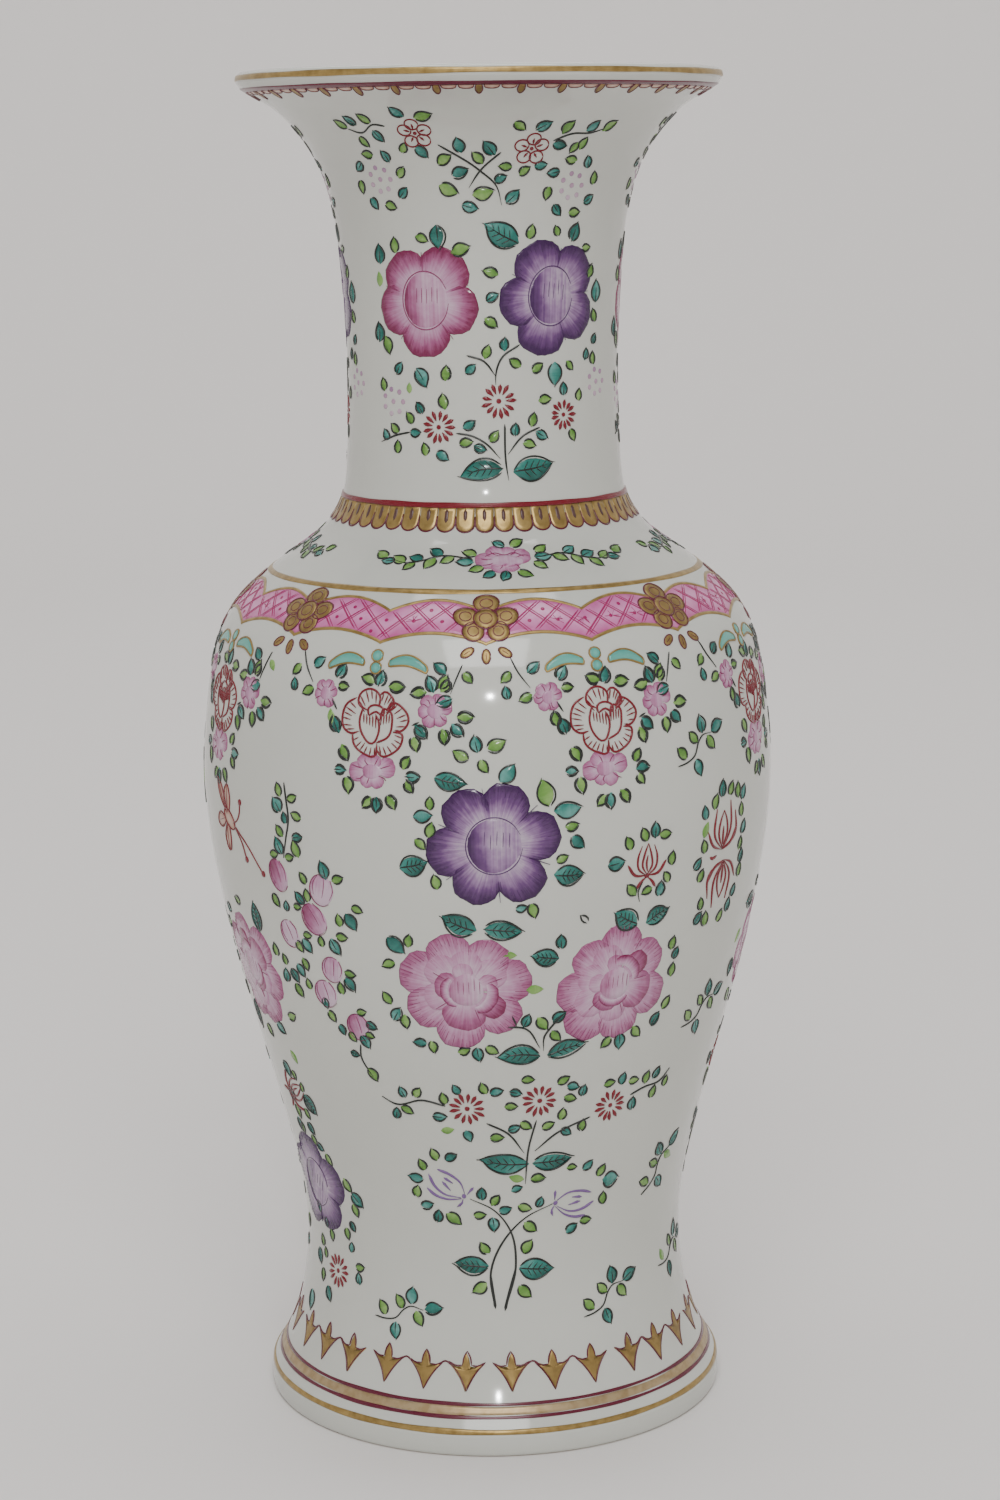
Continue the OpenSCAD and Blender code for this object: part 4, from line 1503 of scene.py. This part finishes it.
def side_bouquet(facing):
    """A pink peony over a red lotus, a purple peony and a daisy, at the side of the vase."""
    double_peony(Spot(facing - 64.5, 123), 15.6, turn=140)
    ring_of_leaves(facing - 64.5, 123, 18.0, "tgdgtgtgdgtg")
    lotus(Spot(facing - 63.5, 87.5, turn=-62), 1.0, 0.7)
    peony(purple, plum, Spot(facing - 62.5, 62.5, turn=-25), PURPLE_LOBES, reach=(13.8, 14.4))
    daisy(Spot(facing - 54.5, 39.5), 4.4)
    leaves(Spot(facing - 60, 66, seen=facing), [
        ("g", 1, 29, -70, 3), ("g", 2.4, 26, 80, 3), ("d", 3.4, 21.4, -50, 6.5, 4.5),
        ("g", 1.8, 18, -60, 3.4), ("t", 1.6, 13.6, -50, 4), ("g", -0.8, 12.6, -80, 3.2),
        ("g", 1.6, 10.2, -60, 3.4), ("t", 3, 8.8, -30, 3.2), ("g", 4.6, 5.8, -60, 3.6),
        ("g", 8.2, -0.4, -60, 4.2), ("t", 10, -4.1, -45, 5, 3.6), ("g", 9, -7.4, -70, 3.8),
        ("t", 7.5, -12.4, -60, 3.2), ("g", 5.8, -15, -80, 3.6), ("g", 1.2, -17.5, -80, 3.4),
        ("t", 6.6, -18.6, 80, 3), ("g", 8.6, -23.4, 10, 3.4), ("t", 8.4, -26.6, 100, 3.4),
        ("g", -0.8, -23.6, 100, 3), ("t", 0.6, -34, -60, 4.4), ("t", -4, -39, -80, 5.5, 4),
        ("g", 2.8, 35, -60, 4), ("t", -0.7, 30, -65, 5), ("t", -1.4, 22, -70, 4.6),
        ("g", -1, 17.4, -70, 4.2), ("t", -1.6, 13.2, -75, 4), ("g", -2.1, -4.8, -80, 4),
        ("t", -1.6, -11, -80, 3.8), ("t", 0, -14.6, 90, 3), ("g", -1.6, -20.6, 100, 3.4),
        ("t", -2.4, -25.4, -70, 4.4), ("g", -1.4, -30, -85, 3.6),
    ])
    far = Spot(facing - 80, 72)
    leaves(far, [
        ("t", -3, 22, 140, 4.4), ("g", -8, 17, 160, 4), ("g", -6, 8, 120, 4),
        ("d", -9, -1, 150, 7.4, 4.8), ("g", -6, -10, 200, 4), ("t", -4, -18, 230, 4.4),
        ("g", 2, -25, 260, 4), ("t", -2, -32, 220, 4.4),
    ])


def ring_of_leaves(azimuth, z, reach, kinds):
    """Leaves set all round a flower, leaning one way or the other."""
    spot = Spot(azimuth, z)
    for k, kind in enumerate(kinds):
        angle = 360 * (k + chance.uniform(-0.2, 0.2)) / len(kinds)
        c, s = toward(angle)
        away = reach + chance.uniform(-0.8, 0.8)
        length = 8.0 if kind == "d" else chance.uniform(3.6, 5.0)
        leaf(spot, kind, away * c, away * s, angle + chance.uniform(30, 80), length)


def big_bouquet(azimuth):
    """Everything of the main view, centred on an azimuth."""
    belly_purple(azimuth + 1)
    doubles(azimuth)
    red_lotus(azimuth + 32)
    lower_panel(azimuth)
    low_sprig(azimuth + 45, 184.5, 14)


for third in range(3):
    neck_top(120 * third)
    neck_middle(120 * third)
for place in (6, 100, 181, 262):
    garland(place)
for eighth in range(8):
    bouquet(45 * eighth + 23)
for facing in (0, 180):
    big_bouquet(facing)
    bud_column(facing)
    butterfly(facing - 62, 163)
    side_bouquet(facing)
    chrysanthemum(facing + 53)
    low_sprig(facing + 56, 113, 11)
    low_sprig(facing + 69, 41.5, 0)
    double_peony(Spot(facing + 82, 124), 13.5, turn=30)
    ring_of_leaves(facing + 82, 124, 16.5, "gtgtdgtgtdg")
    daisy(Spot(facing + 80, 93), 4.2)
    ring_of_leaves(facing + 80, 93, 7.6, "gtgtgt")
    slanting_sprig(facing + 84, 66)
    slanting_sprig(facing + 92, 172)


# ---------------------------------------------------------------- stage, light and camera


def stage():
    """A pale round floor that curves up into a wall on every side, as one smooth sheet."""
    n = Nodes("stage_paper")
    n.settle(Base_Color=colour(225, 222, 220), Roughness=0.9)
    reach, bend, tall, columns = 2.5, 0.8, 3.0, 96
    path = [(0.25, 0.0), (reach - bend, 0.0)]
    for k in range(1, 13):
        a = math.pi / 2 * k / 12
        path.append((reach - bend + bend * math.sin(a), bend - bend * math.cos(a)))
    path.append((reach, tall))
    turns = [2 * math.pi * k / columns for k in range(columns)]
    points = [(r * math.sin(a), -r * math.cos(a), z) for r, z in path for a in turns]
    faces = [tuple(range(columns))]
    for row in range(len(path) - 1):
        for k in range(columns):
            after = (k + 1) % columns
            low, high = row * columns, (row + 1) * columns
            faces.append((low + k, high + k, high + after, low + after))
    mesh = bpy.data.meshes.new("stage_sheet")
    mesh.from_pydata(points, [], faces)
    mesh.materials.append(n.material)
    for face in mesh.polygons:
        face.use_smooth = True
    sheet = bpy.data.objects.new("stage_sheet", mesh)
    bpy.context.scene.collection.objects.link(sheet)


def area_light(name, where, aim, size, power):
    light = bpy.data.lights.new(name, "AREA")
    light.shape = "RECTANGLE"
    light.size, light.size_y = size
    light.energy = power
    lamp = bpy.data.objects.new(name, light)
    bpy.context.scene.collection.objects.link(lamp)
    lamp.location = where
    away = np.array(where) - np.array(aim)
    turn = math.atan2(away[0], -away[1])
    tilt = math.atan2(math.hypot(away[0], away[1]), away[2])
    lamp.rotation_euler = (tilt, 0, turn)


def camera():
    data = bpy.data.cameras.new("camera")
    data.lens = 75.0
    data.sensor_width = 36.0
    data.dof.use_dof = False
    data.clip_start = 0.05
    thing = bpy.data.objects.new("camera", data)
    bpy.context.scene.collection.objects.link(thing)
    turn = Matrix.Rotation(math.radians(-0.233), 4, "Z")
    tip = Matrix.Rotation(math.radians(90 - 10.591), 4, "X")
    roll = Matrix.Rotation(math.radians(-0.696), 4, "Z")
    thing.matrix_world = Matrix.Translation((0.0, -0.8162, 0.3260)) @ turn @ tip @ roll
    bpy.context.scene.camera = thing


for paint in (ink, puce, red, rose, plum, lilac, green, teal, pink, purple, mauve, tan, gold, turquoise):
    paint.build()

stage()
camera()
area_light("soft_front", (0, -1.8, 2.2), (0, 0, 0.2), (1.4, 1.4), 41)
area_light("wall_wash", (0, 0.2, 2.7), (0, 2.4, 0.5), (1.6, 1.2), 30)
area_light("soft_rear", (0, 1.8, 2.2), (0, 0, 0.2), (1.4, 1.4), 9)
area_light("flash", (0.02, -0.84, 0.41), (0, 0, 0.24), (0.02, 0.02), 0.9)
world = bpy.data.worlds.new("room")
world.use_nodes = True
world.node_tree.nodes["Background"].inputs["Color"].default_value = (1, 1, 1, 1)
world.node_tree.nodes["Background"].inputs["Strength"].default_value = 0.32
bpy.context.scene.world = world
